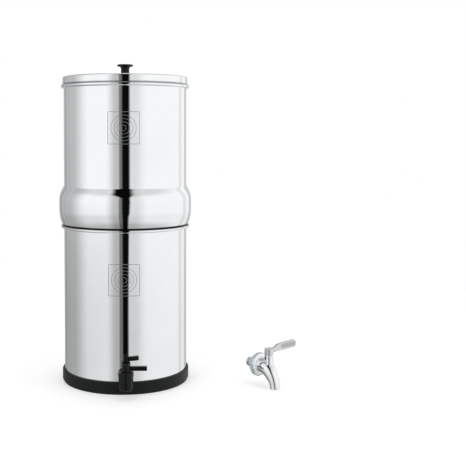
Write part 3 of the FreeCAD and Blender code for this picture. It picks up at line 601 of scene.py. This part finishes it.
def makeLid():
    s = lidSizes
    sheet = shellSizes["sheet"]
    top = millimetres("lid")[1].z
    foot = top - s["height"]
    skirtEnd = foot - s["skirtDepth"]
    spunPiece("lidShell", [
        (s["hole"], top - sheet), (s["radius"] - sheet, top - sheet, s["rounding"] - sheet),
        (s["radius"] - sheet, foot + sheet), (s["skirtRadius"] - sheet, foot + sheet),
        (s["skirtRadius"] - sheet, skirtEnd), (s["skirtRadius"], skirtEnd),
        (s["skirtRadius"], foot), (s["radius"], foot, s["footRounding"]),
        (s["radius"], top, s["rounding"]), (s["hole"], top)],
        mirror, "lid_unit", ["lid"], steps=wallSteps, arcSteps=fineArcs)


baseSizes = {"radius": 104.5, "inner": 86.0, "height": 20.0, "floor": 4.7, "taper": 2.0,
             "taperHeight": 4.0, "rounding": 1.5, "footRounding": 0.8, "channel": 101.15,
             "channelRounding": 0.3, "floorRounding": 8.0}


def makeBaseRing():
    s = baseSizes
    spunPiece("baseRubberRing", [
        (s["inner"], 0), (s["radius"] - s["taper"], 0, s["footRounding"]),
        (s["radius"], s["taperHeight"], s["rounding"]),
        (s["radius"], s["height"], s["rounding"]),
        (s["channel"], s["height"], s["channelRounding"]),
        (s["channel"], s["floor"], s["floorRounding"]), (s["inner"], s["floor"])],
        rubber, "lower_unit", ["base_ring"], steps=wallSteps)


knobSizes = {
    "radius": 13.0, "rim": 3.0, "neck": 6.9, "foot": 7.8, "footEdge": 0.3, "collar": 1.5,
    "edge": 0.6, "flare": 3.6, "rounding": 1.2, "bore": 2.25, "grip": 10.25,
    # the shallow dish in its top: shares of the radius, then depth and rounding
    "dishStart": 0.7, "dishFloor": 0.6, "dishDepth": 0.5, "dishRounding": 2.0,
}


def makeKnob():
    s = knobSizes
    low, high = millimetres("lid_knob")
    foot, top = low.z, high.z
    dish = top - s["dishDepth"]
    spunPiece("trumpetKnob", [
        (0, foot + s["grip"]), (s["bore"], foot + s["grip"]), (s["bore"], foot),
        (s["foot"], foot, s["footEdge"]), (s["foot"], foot + s["collar"], s["edge"]),
        (s["neck"], foot + s["rim"], s["rounding"]),
        (s["neck"], top - s["rim"] - s["rounding"], s["flare"]),
        (s["radius"], top - s["rim"], s["edge"]), (s["radius"], top, s["rounding"]),
        (s["radius"] * s["dishStart"], top),
        (s["radius"] * s["dishFloor"], dish, s["dishRounding"]), (0, dish)],
        black, "lid_unit", ["lid_knob"])


makeLowerChamber()
makeUpperChamber()
makeLid()
makeBaseRing()
makeKnob()
print("chambers, lid, ring and knob made")


# Emblems: a plain square frame with ripple rings inside, raised on the front of each chamber

emblemSizes = {
    "line": 0.8, "relief": 0.2, "sink": 0.15, "cornerRounding": 1.5, "innerRounding": 0.8,
    "arcSteps": 24, "ringGap": 5.2, "ringCount": 4, "firstRing": 0.75, "ringLine": 0.8,
    "ringSegments": 72, "longEdge": 6, "cuts": 9,
}
emblemPlaces = {
    "upperEmblem": {"centre": 416.0, "aside": -2.7, "width": 50.0, "height": 50.5,
                    "body": "upper_unit"},
    "lowerEmblem": {"centre": 179.5, "aside": -2.5, "width": 49.5, "height": 50.0,
                    "body": "lower_unit"},
}


def makeEmblem(name, place):
    s = emblemSizes
    bm = bmesh.new()
    loops = []
    for inset, rounding in ((0, s["cornerRounding"]), (s["line"], s["innerRounding"])):
        across = place["width"] / 2 - inset
        up = place["height"] / 2 - inset
        corners = [(a * across, b * up, rounding)
                   for a, b in ((-1, -1), (1, -1), (1, 1), (-1, 1))]
        loops += outlineEdges(bm, corners, arcSteps=s["arcSteps"])[1]
    bmesh.ops.bridge_loops(bm, edges=loops)
    for ring in range(s["ringCount"]):
        bmesh.ops.create_circle(
            bm, cap_ends=False, radius=s["ringGap"] * (ring + s["firstRing"]),
            segments=s["ringSegments"], matrix=Matrix.Rotation(math.pi / 2, 4, "X"))
    rings = [edge for edge in bm.edges if not edge.link_faces]
    for vert in vertsOf(bmesh.ops.extrude_edge_only(bm, edges=rings)):
        vert.co *= 1 + s["line"] * s["ringLine"] / vert.co.length
    bmesh.ops.subdivide_edges(
        bm, edges=[edge for edge in bm.edges if edge.calc_length() > s["longEdge"]],
        cuts=s["cuts"], use_grid_fill=True)
    raised = set(vertsOf(bmesh.ops.extrude_face_region(bm, geom=list(bm.faces))))
    wall = shellSizes["radius"]
    for vert in bm.verts:
        depth = wall + s["relief"] if vert in raised else wall - s["sink"]
        angle = (vert.co.x + place["aside"]) / wall
        vert.co = (depth * math.sin(angle), -depth * math.cos(angle),
                   place["centre"] + vert.co.z)
    finished(name, bm, [etched], place["body"])


for emblemName, emblemPlace in emblemPlaces.items():
    makeEmblem(emblemName, emblemPlace)
print("emblems made")


# Candles, their seals and wing nuts, inside the upper chamber

candleSizes = {
    "count": 4, "circle": 50.0, "firstAngle": 45.0, "radius": 24.0, "wall": 6.5, "dome": 18.0,
    "base": 26.0, "baseHeight": 14.0, "baseEdge": 1.2, "rimEdge": 1.0, "cup": 8.0,
    "cupGap": 0.1, "stem": 5.0, "stemEdge": 0.5, "plainStem": 2.0, "bore": 2.6, "pitch": 1.5,
    "ridge": 0.35, "threadStart": 1.0, "unthreaded": 3.0,
}


def makeCandle(number):
    s = candleSizes
    angle = math.radians(s["firstAngle"] + 360 / s["count"] * (number - 1))
    centre = Vector((math.cos(angle), math.sin(angle), 0)) * s["circle"] * mm
    place = Matrix.Translation(centre) @ Matrix.Rotation(angle, 4, "Z")
    low, high = millimetres(f"candle_shell_{number}")
    hollow = s["radius"] - s["wall"]
    ceiling = high.z - s["wall"]
    spunPiece(f"ceramicShell{number}", [
        (0, ceiling), (hollow, ceiling, s["dome"] - s["wall"]), (hollow, low.z),
        (s["radius"], low.z), (s["radius"], high.z, s["dome"]), (0, high.z)],
        ceramic, "upper_unit", [f"candle_shell_{number}"], place)
    low, high = millimetres(f"candle_base_{number}")
    seat = high.z - s["baseHeight"]
    cupFloor = high.z - s["cup"]
    cup = s["radius"] + s["cupGap"]
    core = s["stem"] - s["ridge"]
    bm = spun(bmesh.new(), [
        (s["bore"], low.z), (core, low.z, s["stemEdge"]), (core, seat - s["plainStem"]),
        (core, seat), (s["base"], seat, s["baseEdge"]), (s["base"], high.z, s["rimEdge"]),
        (cup, high.z), (cup, cupFloor), (s["bore"], cupFloor)], turnedSteps)
    coil(bm, core, s["pitch"], seat - low.z - s["unthreaded"], s["ridge"],
         low.z + s["threadStart"])
    finished(f"candleBase{number}", bm, [moulding], "upper_unit",
             [f"candle_base_{number}"], place)


# nodes that keep their own meshes
keptNodes = {
    "candle_seals": washer, "candle_wing_nuts": moulding, "knob_screw": satin,
    "knob_washer": satin, "tap_plug": black, "tap_plug_seal": washer,
    "tap_inner_washer": washer, "tap_outer_washer": washer, "steel_tap_inner_washer": washer,
    "steel_tap_spindle": satin, "steel_tap_spindle_seal": washer, "steel_tap_stop_pin": satin,
}

for candleNumber in range(1, candleSizes["count"] + 1):
    makeCandle(candleNumber)
for node, finish in keptNodes.items():
    slots = frame["nodes"][node].data.materials
    slots.clear()
    slots.append(finish)
print("candles made and the kept nodes finished")


# Fitted black tap. Drawn about the plug's axis, nose towards -Y, and moved out to it.

fittedSizes = {
    "axisY": -129.0, "height": 33.0, "body": 11.5, "foot": 19.5, "top": 44.0, "rounding": 3.0,
    "bodyRise": 2.6, "bodyRounding": 1.6, "edge": 0.6,
    # the cuff round its mouth, and the groove above that
    "mouth": 10.6, "mouthFoot": 15.0, "mouthBore": 5.4, "boreRise": 4.0, "bevel": 2.2,
    "bevelRounding": 2.0, "mouthNeck": 10.0, "neckRise": 0.8, "neckRounding": 0.4,
    # the seat of the lever's hub
    "hubGap": 0.2, "seatDepth": 1.0, "seatRounding": 0.3,
}
barrelSizes = {
    "radius": 7.6, "start": 2.0, "end": 48.0, "endRounding": 0.5, "waterway": 3.2,
    "waterwayStart": 12.0, "flange": 12.4, "flangeStart": 22.9, "flangeEnd": 25.9,
    "flangeCone": 1.5, "coneRounding": 1.0, "flangeFront": 0.8, "flangeBack": 0.6,
    "threadDepth": 0.35, "pitch": 1.5, "ridge": 0.33, "threadStart": 2.5, "threadEnd": 1.0,
}
fittedLeverSizes = {
    "hub": 6.3, "foot": 44.3, "top": 55.0, "footEdge": 0.3, "rounding": 1.6, "reach": 32.4,
    "armFoot": 45.4, "armHeight": 6.4, "armStart": 2.0, "armRoot": 5.0, "armEnd": 9.0,
    "armRounding": 1.6, "armBevel": 0.8,
    # the dimple in its top: shares of the hub's radius, then depth
    "dimple": 0.45, "dimpleFloor": 0.4, "dimpleDepth": 0.6,
}
fittedNutSizes = {"radius": 14.0, "bore": 7.75}
fittedPlace = Matrix.Translation((0, fittedSizes["axisY"] * mm, 0))
alongBack = Matrix.Rotation(-math.pi / 2, 4, "X")


def makeBarrel():
    # flange and threaded barrel about the Z axis, then laid along Y at the barrel's height
    s = barrelSizes
    bm = bmesh.new()
    core = s["radius"] - s["threadDepth"]
    threadStart = s["flangeEnd"] + s["threadStart"]
    spun(bm, [
        (0, s["start"]), (s["radius"], s["start"]),
        (s["radius"], s["flangeStart"] - s["flangeCone"], s["coneRounding"]),
        (s["flange"], s["flangeStart"], s["flangeFront"]),
        (s["flange"], s["flangeEnd"], s["flangeBack"]), (core, s["flangeEnd"]),
        (core, s["end"], s["endRounding"]), (s["waterway"], s["end"]),
        (s["waterway"], s["waterwayStart"]), (0, s["waterwayStart"])], turnedSteps)
    coil(bm, core, s["pitch"], s["end"] - threadStart - s["threadEnd"], s["ridge"], threadStart)
    faceOutwards(bm)
    bmesh.ops.transform(
        bm, matrix=lifted(fittedSizes["height"]) @ alongBack, verts=bm.verts)
    return bm


def makeTapBody():
    s = fittedSizes
    seat = fittedLeverSizes["hub"] + s["hubGap"]
    seatFloor = s["top"] - s["seatDepth"]
    boreTop = s["foot"] + s["boreRise"]
    bm = spun(bmesh.new(), [
        (0, boreTop), (s["mouthBore"], boreTop), (s["mouthBore"], s["mouthFoot"]),
        (s["mouth"] - s["bevel"], s["mouthFoot"], s["edge"]),
        (s["mouth"], s["mouthFoot"] + s["bevel"], s["bevelRounding"]),
        (s["mouth"], s["foot"], s["edge"]),
        (s["mouthNeck"], s["foot"] + s["neckRise"], s["neckRounding"]),
        (s["body"], s["foot"] + s["bodyRise"], s["bodyRounding"]),
        (s["body"], s["top"], s["rounding"]), (seat, s["top"], s["seatRounding"]),
        (seat, seatFloor), (0, seatFloor)], turnedSteps)
    joinInto(bm, makeBarrel())
    finished("fittedTapBody", bm, [black], "lower_unit", ["tap_body"],
             fittedPlace)


def makeTapLever():
    s = fittedLeverSizes
    dimple = s["top"] - s["dimpleDepth"]
    bm = spun(bmesh.new(), [
        (0, s["foot"]), (s["hub"], s["foot"], s["footEdge"]),
        (s["hub"], s["top"], s["rounding"]), (s["hub"] * s["dimple"], s["top"]),
        (s["hub"] * s["dimpleFloor"], dimple), (0, dimple)], smallSteps)
    arm = bmesh.new()
    verts, _ = outlineEdges(arm, [
        (s["armStart"], s["armRoot"] / 2), (s["reach"], s["armEnd"] / 2, s["armRounding"]),
        (s["reach"], -s["armEnd"] / 2, s["armRounding"]),
        (s["armStart"], -s["armRoot"] / 2)])
    bmesh.ops.translate(arm, verts=verts, vec=(0, -s["armHeight"] / 2, 0))
    grown = bmesh.ops.extrude_face_region(arm, geom=[arm.faces.new(verts)])
    bmesh.ops.translate(arm, verts=vertsOf(grown), vec=(0, s["armHeight"], 0))
    rims = [edge for edge in arm.edges if edge.verts[0].co.y == edge.verts[1].co.y]
    bmesh.ops.bevel(arm, geom=rims, offset=s["armBevel"], segments=bevelSegments,
                    profile=0.5, affect="EDGES", material=-1)
    middle = lifted(s["armFoot"] + s["armHeight"] / 2)
    bmesh.ops.transform(arm, matrix=middle @ alongBack, verts=arm.verts)
    joinInto(bm, arm)
    finished("fittedTapLever", bm, [black], "tap_lever_unit", ["tap_lever"],
             fittedPlace)


def makeTapNut():
    s = fittedNutSizes
    axisY = fittedSizes["axisY"]
    low, high = millimetres("tap_nut")
    bm = bmesh.new()
    hexagon(bm, s["radius"], low.y - axisY, high.y - axisY, s["bore"])
    finished("fittedTapNut", bm, [black], "lower_unit", ["tap_nut"],
             fittedPlace @ lifted(fittedSizes["height"] * mm) @ alongBack)


makeTapBody()
makeTapLever()
makeTapNut()
print("fitted tap made")


# Loose steel lever tap. Drawn with its stem along Y and its nose towards -Y.

looseSizes = {
    "x": 216.0, "y": -52.0, "turn": 35.0, "drop": 32.5, "reach": 37.8, "mouth": 7.8,
    "mouthWall": 1.5, "beak": 12.4, "beakStart": 8.2, "beakRings": 36, "beakSegments": 72,
    # the rings of the mouth's bore, in shares of the beak's length
    "boreShares": (1.0, 0.97, 0.9, 0.8, 0.7),
    "tower": 7.2, "towerReach": 23.8, "towerTop": 18.5, "towerFoot": 7.9, "footHeight": 8.5,
    "neckHeight": 12.5, "neckRounding": 6.0, "rimEdge": 0.3, "slotHeight": 3.2,
    "slotOverlap": 0.01, "slotSpan": 111.0, "slotStart": -85.6, "spindle": 3.96,
    "stem": 8.0, "stemLength": 22.0, "stemEdge": 0.6, "waterway": 4.6, "pitch": 2.0,
    "ridge": 0.55, "threadStart": -2.0, "threadLength": 23.0,
}
loosePlace = (Matrix.Translation((looseSizes["x"] * mm, looseSizes["y"] * mm,
                                  looseSizes["drop"] * mm))
              @ Matrix.Rotation(math.radians(looseSizes["turn"]), 4, "Z"))
towerPlace = loosePlace @ Matrix.Translation((0, -looseSizes["towerReach"] * mm, 0))
stemPlace = loosePlace @ alongBack
# share of the way to the mouth, share of the drop, slope, how far the radius has narrowed
beakKeys = [(0.0, 0.0, 0, 0.0), (0.22, 0.01, 6, 0.0), (0.48, 0.11, 29, 0.1),
            (0.71, 0.33, 52, 0.4), (0.89, 0.59, 70, 0.75), (0.98, 0.83, 84, 0.97),
            (1.0, 1.0, 90, 1.0)]


def alongKeys(keys, share):
    # a smooth curve through evenly spaced keys, read at a share of its length
    spot = min(share, 0.9999) * (len(keys) - 1)
    start = int(spot)
    part = spot - start
    picked = [keys[max(0, min(len(keys) - 1, start + step))] for step in (-1, 0, 1, 2)]
    return [0.5 * (2 * b + (c - a) * part + (2 * a - 5 * b + 4 * c - d) * part ** 2
                   + (3 * b - a - 3 * c + d) * part ** 3) for a, b, c, d in zip(*picked)]


def beakRing(bm, share, shrink):
    s = looseSizes
    along, down, slope, narrow = alongKeys(beakKeys, share)
    reach = s["beakStart"] + along * (s["reach"] - s["beakStart"])
    radius = s["beak"] - narrow * (s["beak"] - s["mouth"]) - shrink
    place = (Matrix.Translation((0, -reach, -down * s["drop"]))
             @ Matrix.Rotation(math.radians(90 + slope), 4, "X"))
    return bmesh.ops.create_circle(
        bm, cap_ends=False, radius=radius, segments=s["beakSegments"], matrix=place)["verts"]


def makeBeak():
    # the spout from its root to its mouth, and a little way back up inside
    s = looseSizes
    bm = bmesh.new()
    rings = [beakRing(bm, step / s["beakRings"], 0) for step in range(s["beakRings"] + 1)]
    rings += [beakRing(bm, share, s["mouthWall"]) for share in s["boreShares"]]
    for first, second in zip(rings, rings[1:]):
        picked = {*first, *second}
        bmesh.ops.bridge_loops(
            bm, edges=[edge for edge in bm.edges if picked.issuperset(edge.verts)])
    for ring in (rings[0], rings[-1]):
        bm.faces.new(ring)
    faceOutwards(bm)
    return bm


def makeLooseBody():
    s = looseSizes
    bm = makeBeak()
    slotFoot = s["towerTop"] - s["slotHeight"]
    tower = spun(bmesh.new(), [
        (s["spindle"], 0), (s["towerFoot"], 0), (s["towerFoot"], s["footHeight"]),
        (s["tower"], s["neckHeight"], s["neckRounding"]), (s["tower"], slotFoot),
        (s["spindle"], slotFoot)], turnedSteps)
    rim = spun(bmesh.new(), [
        (s["spindle"], slotFoot - s["slotOverlap"]), (s["tower"], slotFoot - s["slotOverlap"]),
        (s["tower"], s["towerTop"], s["rimEdge"]), (s["spindle"], s["towerTop"])],
        smallSteps, angle=360 - s["slotSpan"])
    slotEnd = Matrix.Rotation(math.radians(s["slotStart"] + s["slotSpan"]), 3, "Z")
    bmesh.ops.rotate(rim, verts=rim.verts, cent=(0, 0, 0), matrix=slotEnd)
    for part in (tower, rim):
        bmesh.ops.translate(part, verts=part.verts, vec=(0, -s["towerReach"], 0))
        faceOutwards(part)
        joinInto(bm, part)
    core = s["stem"] - s["ridge"]
    stem = spun(bmesh.new(), [
        (s["waterway"], -s["beakStart"]), (core, -s["beakStart"]),
        (core, s["stemLength"], s["stemEdge"]), (s["waterway"], s["stemLength"])], smallSteps)
    coil(stem, core, s["pitch"], s["threadLength"], s["ridge"], s["threadStart"])
    faceOutwards(stem)
    bmesh.ops.transform(stem, matrix=alongBack, verts=stem.verts)
    for face in stem.faces:
        face.material_index = 1
    joinInto(bm, stem)
    finished("looseTapBody", bm, [casting, threads], "loose_tap_unit",
             ["steel_tap_body"], loosePlace, recalculate=False)


looseRingSizes = {
    # (radius, place behind the washer's middle, rounding)
    "washer": [(8.1, -3.0), (8.1, 3.0), (17.4, 3.0, 0.5), (19.0, 1.2, 0.6), (19.0, -3.0, 0.6)],
    "flange": [(8.1, -3.0), (18.0, -3.0), (18.0, -4.6, 0.6), (15.6, -6.2, 3.0),
               (14.4, -6.5, 0.4), (13.6, -6.5, 0.2), (13.4, -8.0, 0.4), (8.1, -8.0)],
    "nut": {"circumradius": 12.7, "foot": 4.9, "top": 10.9, "bore": 8.1},
}


def makeLooseRings():
    s = looseRingSizes
    spunPiece("siliconeWasher", s["washer"], silicone, "loose_tap_unit",
              ["steel_tap_washer"], stemPlace, fineSteps)
    spunPiece("tapFlange", s["flange"], casting, "loose_tap_unit",
              ["steel_tap_flange"], stemPlace, fineSteps)
    bm = bmesh.new()
    hexagon(bm, **s["nut"])
    finished("looseTapNut", bm, [threads], "loose_tap_unit",
             ["steel_tap_nut"], stemPlace)


leverSizes = {
    "root": 6.2, "foot": 22.6, "reach": 60.5, "endFoot": 24.7, "endTop": 37.2, "endFlat": 0.2,
    "shoulder": 20.0, "shoulderRounding": 10.0, "dip": 2.5, "neck": 10.0, "neckTop": 29.6,
    "neckRounding": 5.0, "thickness": 4.4, "edge": 0.8,
    "panelStart": 25.0, "panelInset": 2.6, "panelSlant": 1.05, "panelDepth": 0.5,
    "hub": 7.0, "hubFoot": 18.9, "hubTop": 30.3, "hubEdge": 0.4, "hubRounding": 0.8,
    "recess": 5.5, "recessEdge": 0.2,
}
capSizes = {
    "radius": 5.0, "top": 29.8, "height": 2.6, "bevel": 0.6, "segments": 72,
    "socket": 1.8, "socketSides": 6, "socketDepth": 1.8,
    # how the rim is widened and lowered, step by step
    "rimSteps": [(1.09, 0.15), (1.045, 0.5)],
}


def deepen(bm, edges, depth, floorMaterial):
    # carries a loop back along Y and closes it with a flat floor
    grown = bmesh.ops.extrude_edge_only(bm, edges=edges)
    bmesh.ops.translate(bm, verts=vertsOf(grown), vec=(0, depth, 0))
    for face in bmesh.ops.contextual_create(bm, geom=edgesOf(grown))["faces"]:
        face.material_index = floorMaterial


def makeLooseLever():
    s = leverSizes
    inset = s["panelInset"]
    endRounding = (s["endTop"] - s["endFoot"]) / 2 - s["endFlat"]
    panelRounding = endRounding - inset
    bm = bmesh.new()
    _, outerEdges = outlineEdges(bm, [
        (s["root"], s["foot"]), (s["reach"], s["endFoot"], endRounding),
        (s["reach"], s["endTop"], endRounding),
        (s["shoulder"], s["endTop"] - s["dip"], s["shoulderRounding"]),
        (s["neck"], s["neckTop"], s["neckRounding"]), (s["root"], s["neckTop"])],
        arcSteps=fineArcs)
    _, panelEdges = outlineEdges(bm, [
        (s["panelStart"], s["endFoot"] + inset - s["panelSlant"], panelRounding),
        (s["reach"] - inset, s["endFoot"] + inset, panelRounding),
        (s["reach"] - inset, s["endTop"] - inset, panelRounding),
        (s["panelStart"], s["endTop"] - inset - s["panelSlant"], panelRounding)],
        arcSteps=fineArcs)
    bmesh.ops.bridge_loops(bm, edges=outerEdges + panelEdges)
    bmesh.ops.translate(bm, verts=bm.verts, vec=(0, -s["thickness"] / 2, 0))
    deepen(bm, panelEdges, s["panelDepth"], 1)
    deepen(bm, outerEdges, s["thickness"], 0)
    faceOutwards(bm)
    bmesh.ops.bevel(bm, geom=outerEdges, offset=s["edge"], segments=bevelSegments,
                    profile=0.5, affect="EDGES", material=-1)
    spindle = looseSizes["spindle"]
    recessFloor = capSizes["top"] - capSizes["height"]
    hub = spun(bmesh.new(), [
        (spindle, s["hubFoot"]), (s["hub"], s["hubFoot"], s["hubEdge"]),
        (s["hub"], s["hubTop"], s["hubRounding"]), (s["recess"], s["hubTop"], s["recessEdge"]),
        (s["recess"], recessFloor), (spindle, recessFloor)], fineSteps)
    faceOutwards(hub)
    joinInto(bm, hub)
    finished("looseTapLever", bm, [satin, panel], "loose_lever_unit",
             ["steel_tap_lever"], towerPlace, recalculate=False)


def makeCapScrew():
    # a flat face between rim and socket, then both loops are carried down and closed
    s = capSizes
    bm = bmesh.new()
    top = lifted(s["top"])
    bmesh.ops.create_circle(bm, cap_ends=False, radius=s["radius"] - s["bevel"],
                            segments=s["segments"], matrix=top)
    rim = list(bm.edges)
    bmesh.ops.create_circle(bm, cap_ends=False, radius=s["socket"],
                            segments=s["socketSides"], matrix=top)
    socket = [edge for edge in bm.edges if edge not in rim]
    bmesh.ops.bridge_loops(bm, edges=rim + socket)
    left = s["height"] - sum(down for _, down in s["rimSteps"])
    for loop, steps in ((socket, [(1.0, s["socketDepth"])]), (rim, [*s["rimSteps"], (1.0, left)])):
        for widen, down in steps:
            grown = bmesh.ops.extrude_edge_only(bm, edges=loop)
            loop = edgesOf(grown)
            for vert in vertsOf(grown):
                vert.co = (vert.co.x * widen, vert.co.y * widen, vert.co.z - down)
        bmesh.ops.contextual_create(bm, geom=loop)
    finished("capScrew", bm, [casting], "loose_lever_unit",
             ["steel_tap_cap_screw"], towerPlace)


# the polished wall doesn't show pieces whose names start so, and stays clear as in a studio shot
looseOwnShine = ("loose", "steel_tap", "siliconeWasher", "tapFlange", "capScrew")

makeLooseBody()
makeLooseRings()
makeLooseLever()
makeCapScrew()
for piece in bpy.data.objects:
    if piece.name.startswith(looseOwnShine):
        piece.visible_glossy = False
print("loose tap made")


# Studio: a white floor, a glossy-only drum of light and shade round the object, and lamps

# what the polished steel sees round it: a pale wall with cards in front, each with the middle,
# half width and soft edge in degrees round from the camera's side, and its grey
studioCards = {
    "backLeftWall": {"middle": -140.0, "half": 50.0, "edge": 44.0, "grey": 0.57},
    "leftPost": {"middle": -146.5, "half": 8.0, "edge": 4.0, "grey": 0.43},
    "leftBand": {"middle": -128.0, "half": 4.0, "edge": 4.0, "grey": 0.51},
    "backRightWall": {"middle": 165.0, "half": 22.0, "edge": 9.0, "grey": 0.66},
    "rightPost": {"middle": 123.0, "half": 6.0, "edge": 8.0, "grey": 0.9},
    "nearLeftCurtain": {"middle": -12.0, "half": 14.0, "edge": 20.0, "grey": 0.6},
    "nearRightCurtain": {"middle": 12.0, "half": 16.0, "edge": 24.0, "grey": 0.84},
    "tripod": {"middle": -3.0, "half": 8.4, "edge": 3.0, "grey": 0.22},
}
# the camera itself, black, under a hood that stands wider and further left
cameraCard = {"middle": 0.8, "half": 7.0, "edge": 5.0, "grey": 0.004, "widerAbove": 2.1,
              "leftAbove": 7.0, "narrowerBelow": 0.32, "leftBelow": 1.4}
studioSizes = {
    "radius": 3.0, "height": 17.0, "foot": -9.0, "segments": 256, "wallGrey": 1.08,
    "aboveFrom": 1.5, "aboveTo": 3.4, "aboveGrey": 0.74,
    "belowFrom": 0.3, "belowTo": -0.6, "belowDim": 0.17, "belowDimLeft": 0.09,
    "footFrom": -0.9, "footTo": -2.3, "footDim": 0.36,
    "floorHalf": 14, "floorGrey": 0.8, "floorLift": 0.42, "whiteFrom": 0.55, "whiteTo": 1.5,
    "skyLight": 0.55, "skySeen": 1.0,
}


def stagePiece(name, bm, material, hiddenFrom):
    piece = addObject(name, meshFrom(name, bm, [material]))
    for kind in hiddenFrom:
        setattr(piece, f"visible_{kind}", False)


def cardMask(angle, card, wider=1.0):
    away = (angle - card["middle"]).math("ABSOLUTE") / wider
    return 1.0 - away.between(card["half"] - card["edge"] / 2, card["half"] + card["edge"] / 2)


def makeDrum():
    s = studioSizes
    finish = Finish("studioDrum", {})
    x, y, z = finish.axes()
    angle = x.math("ARCTAN2", y * -1.0) * (180 / math.pi)
    shade = (s["wallGrey"],) * 3
    for card in studioCards.values():
        shade = finish.mix(cardMask(angle, card), shade, (card["grey"],) * 3)
    above = z.between(s["aboveFrom"], s["aboveTo"])
    below = 1.0 - z.between(s["belowTo"], s["belowFrom"])
    foot = 1.0 - z.between(s["footTo"], s["footFrom"])
    level = 1.0 - below * (s["belowDim"] - x * (s["belowDimLeft"] / s["radius"]))
    level = level * (1.0 - above * (1 - s["aboveGrey"])) * (1.0 - foot * s["footDim"])
    aside = above * cameraCard["leftAbove"] + below * cameraCard["leftBelow"]
    wider = 1.0 + above * cameraCard["widerAbove"] - below * cameraCard["narrowerBelow"]
    camera = cardMask(angle + aside, cameraCard, wider)
    shade = finish.mix(camera, shade, (cameraCard["grey"],) * 3)
    glow = finish.add("ShaderNodeEmission", {}, {"Color": shade, "Strength": level})
    bm = bmesh.new()
    bmesh.ops.create_cone(bm, cap_ends=False, segments=s["segments"], radius1=s["radius"],
                          radius2=s["radius"], depth=s["height"])
    bmesh.ops.translate(bm, verts=bm.verts, vec=(0, 0, s["height"] / 2 + s["foot"]))
    stagePiece("studioDrum", bm, finish.showInstead(glow),
               ("camera", "diffuse", "transmission", "shadow", "volume_scatter"))


def makeFloor():
    # lifted towards white where it is looked at, and pure white further out
    s = studioSizes
    finish = Finish("paleFloor", {
        "Base Color": (s["floorGrey"],) * 3, "Roughness": 0.9, "Specular IOR Level": 0.1})
    seen = finish.rays("Camera", "Transmission")
    lift = finish.add("ShaderNodeEmission", {}, {
        "Color": (1, 1, 1), "Strength": seen * s["floorLift"]})
    lit = finish.add("ShaderNodeAddShader", {}, [Wire(finish, finish.shader.outputs[0]), lift])
    white = finish.add("ShaderNodeEmission", {}, {"Color": (1, 1, 1), "Strength": seen})
    x, y, _ = finish.axes()
    far = ((x * x + y * y) ** 0.5).between(s["whiteFrom"], s["whiteTo"])
    both = finish.add("ShaderNodeMixShader", {}, [far * seen, lit, white])
    bm = bmesh.new()
    bmesh.ops.create_grid(bm, x_segments=1, y_segments=1, size=s["floorHalf"])
    stagePiece("paleFloor", bm, finish.showInstead(both), ("glossy",))


def makeWorld():
    # white where it is seen, dimmer as a light
    world = bpy.data.worlds.new("studio")
    bpy.context.scene.world = world
    world.use_nodes = True
    sky = Shading(world.node_tree)
    background = sky.tree.nodes["Background"]
    seen = sky.rays("Camera", "Glossy", "Transmission")
    sky.feed(background.inputs["Color"], (1, 1, 1))
    sky.feed(background.inputs["Strength"], sky.add("ShaderNodeMapRange", {}, {
        "Value": seen, "To Min": studioSizes["skyLight"], "To Max": studioSizes["skySeen"]}))


lampPlans = {
    "keyLamp": {"place": (-1.6, -1.8, 1.9), "size": 1.4, "power": 10},
    "fillLamp": {"place": (1.9, -1.2, 1.3), "size": 1.4, "power": 6},
    "topLamp": {"place": (0.1, 0.2, 2.3), "size": 1.8, "power": 10},
}
lampTarget = Vector((0.05, 0, 0.25))


def makeLamp(name, plan):
    lamp = bpy.data.lights.new(name, "AREA")
    lamp.size = plan["size"]
    lamp.energy = plan["power"]
    holder = addObject(name, lamp)
    holder.location = plan["place"]
    aim = lampTarget - Vector(plan["place"])
    holder.rotation_euler = aim.to_track_quat("-Z", "Y").to_euler()
    holder.visible_glossy = False


cameraPlan = {
    "distance": 1.466, "height": 0.404, "focal": 882.9, "frame": 466.0, "sensor": 36.0,
    "yaw": 3.4, "pitch": 2.4, "shiftAcross": 0.1185, "shiftDown": 0.1295,
}


def makeCamera():
    plan = cameraPlan
    camera = bpy.data.cameras.new("camera")
    camera.sensor_width = plan["sensor"]
    camera.lens = plan["sensor"] * plan["focal"] / plan["frame"]
    camera.shift_x = plan["shiftAcross"]
    camera.shift_y = -plan["shiftDown"]
    camera.dof.use_dof = False
    holder = addObject("camera", camera)
    holder.location = (0, -plan["distance"], plan["height"])
    holder.rotation_euler = (math.radians(90 - plan["pitch"]), 0, math.radians(-plan["yaw"]))
    bpy.context.scene.camera = holder


makeDrum()
makeFloor()
makeWorld()
for lampName, lampPlan in lampPlans.items():
    makeLamp(lampName, lampPlan)
makeCamera()
bpy.context.scene.view_settings.view_transform = "Standard"
print("studio made")
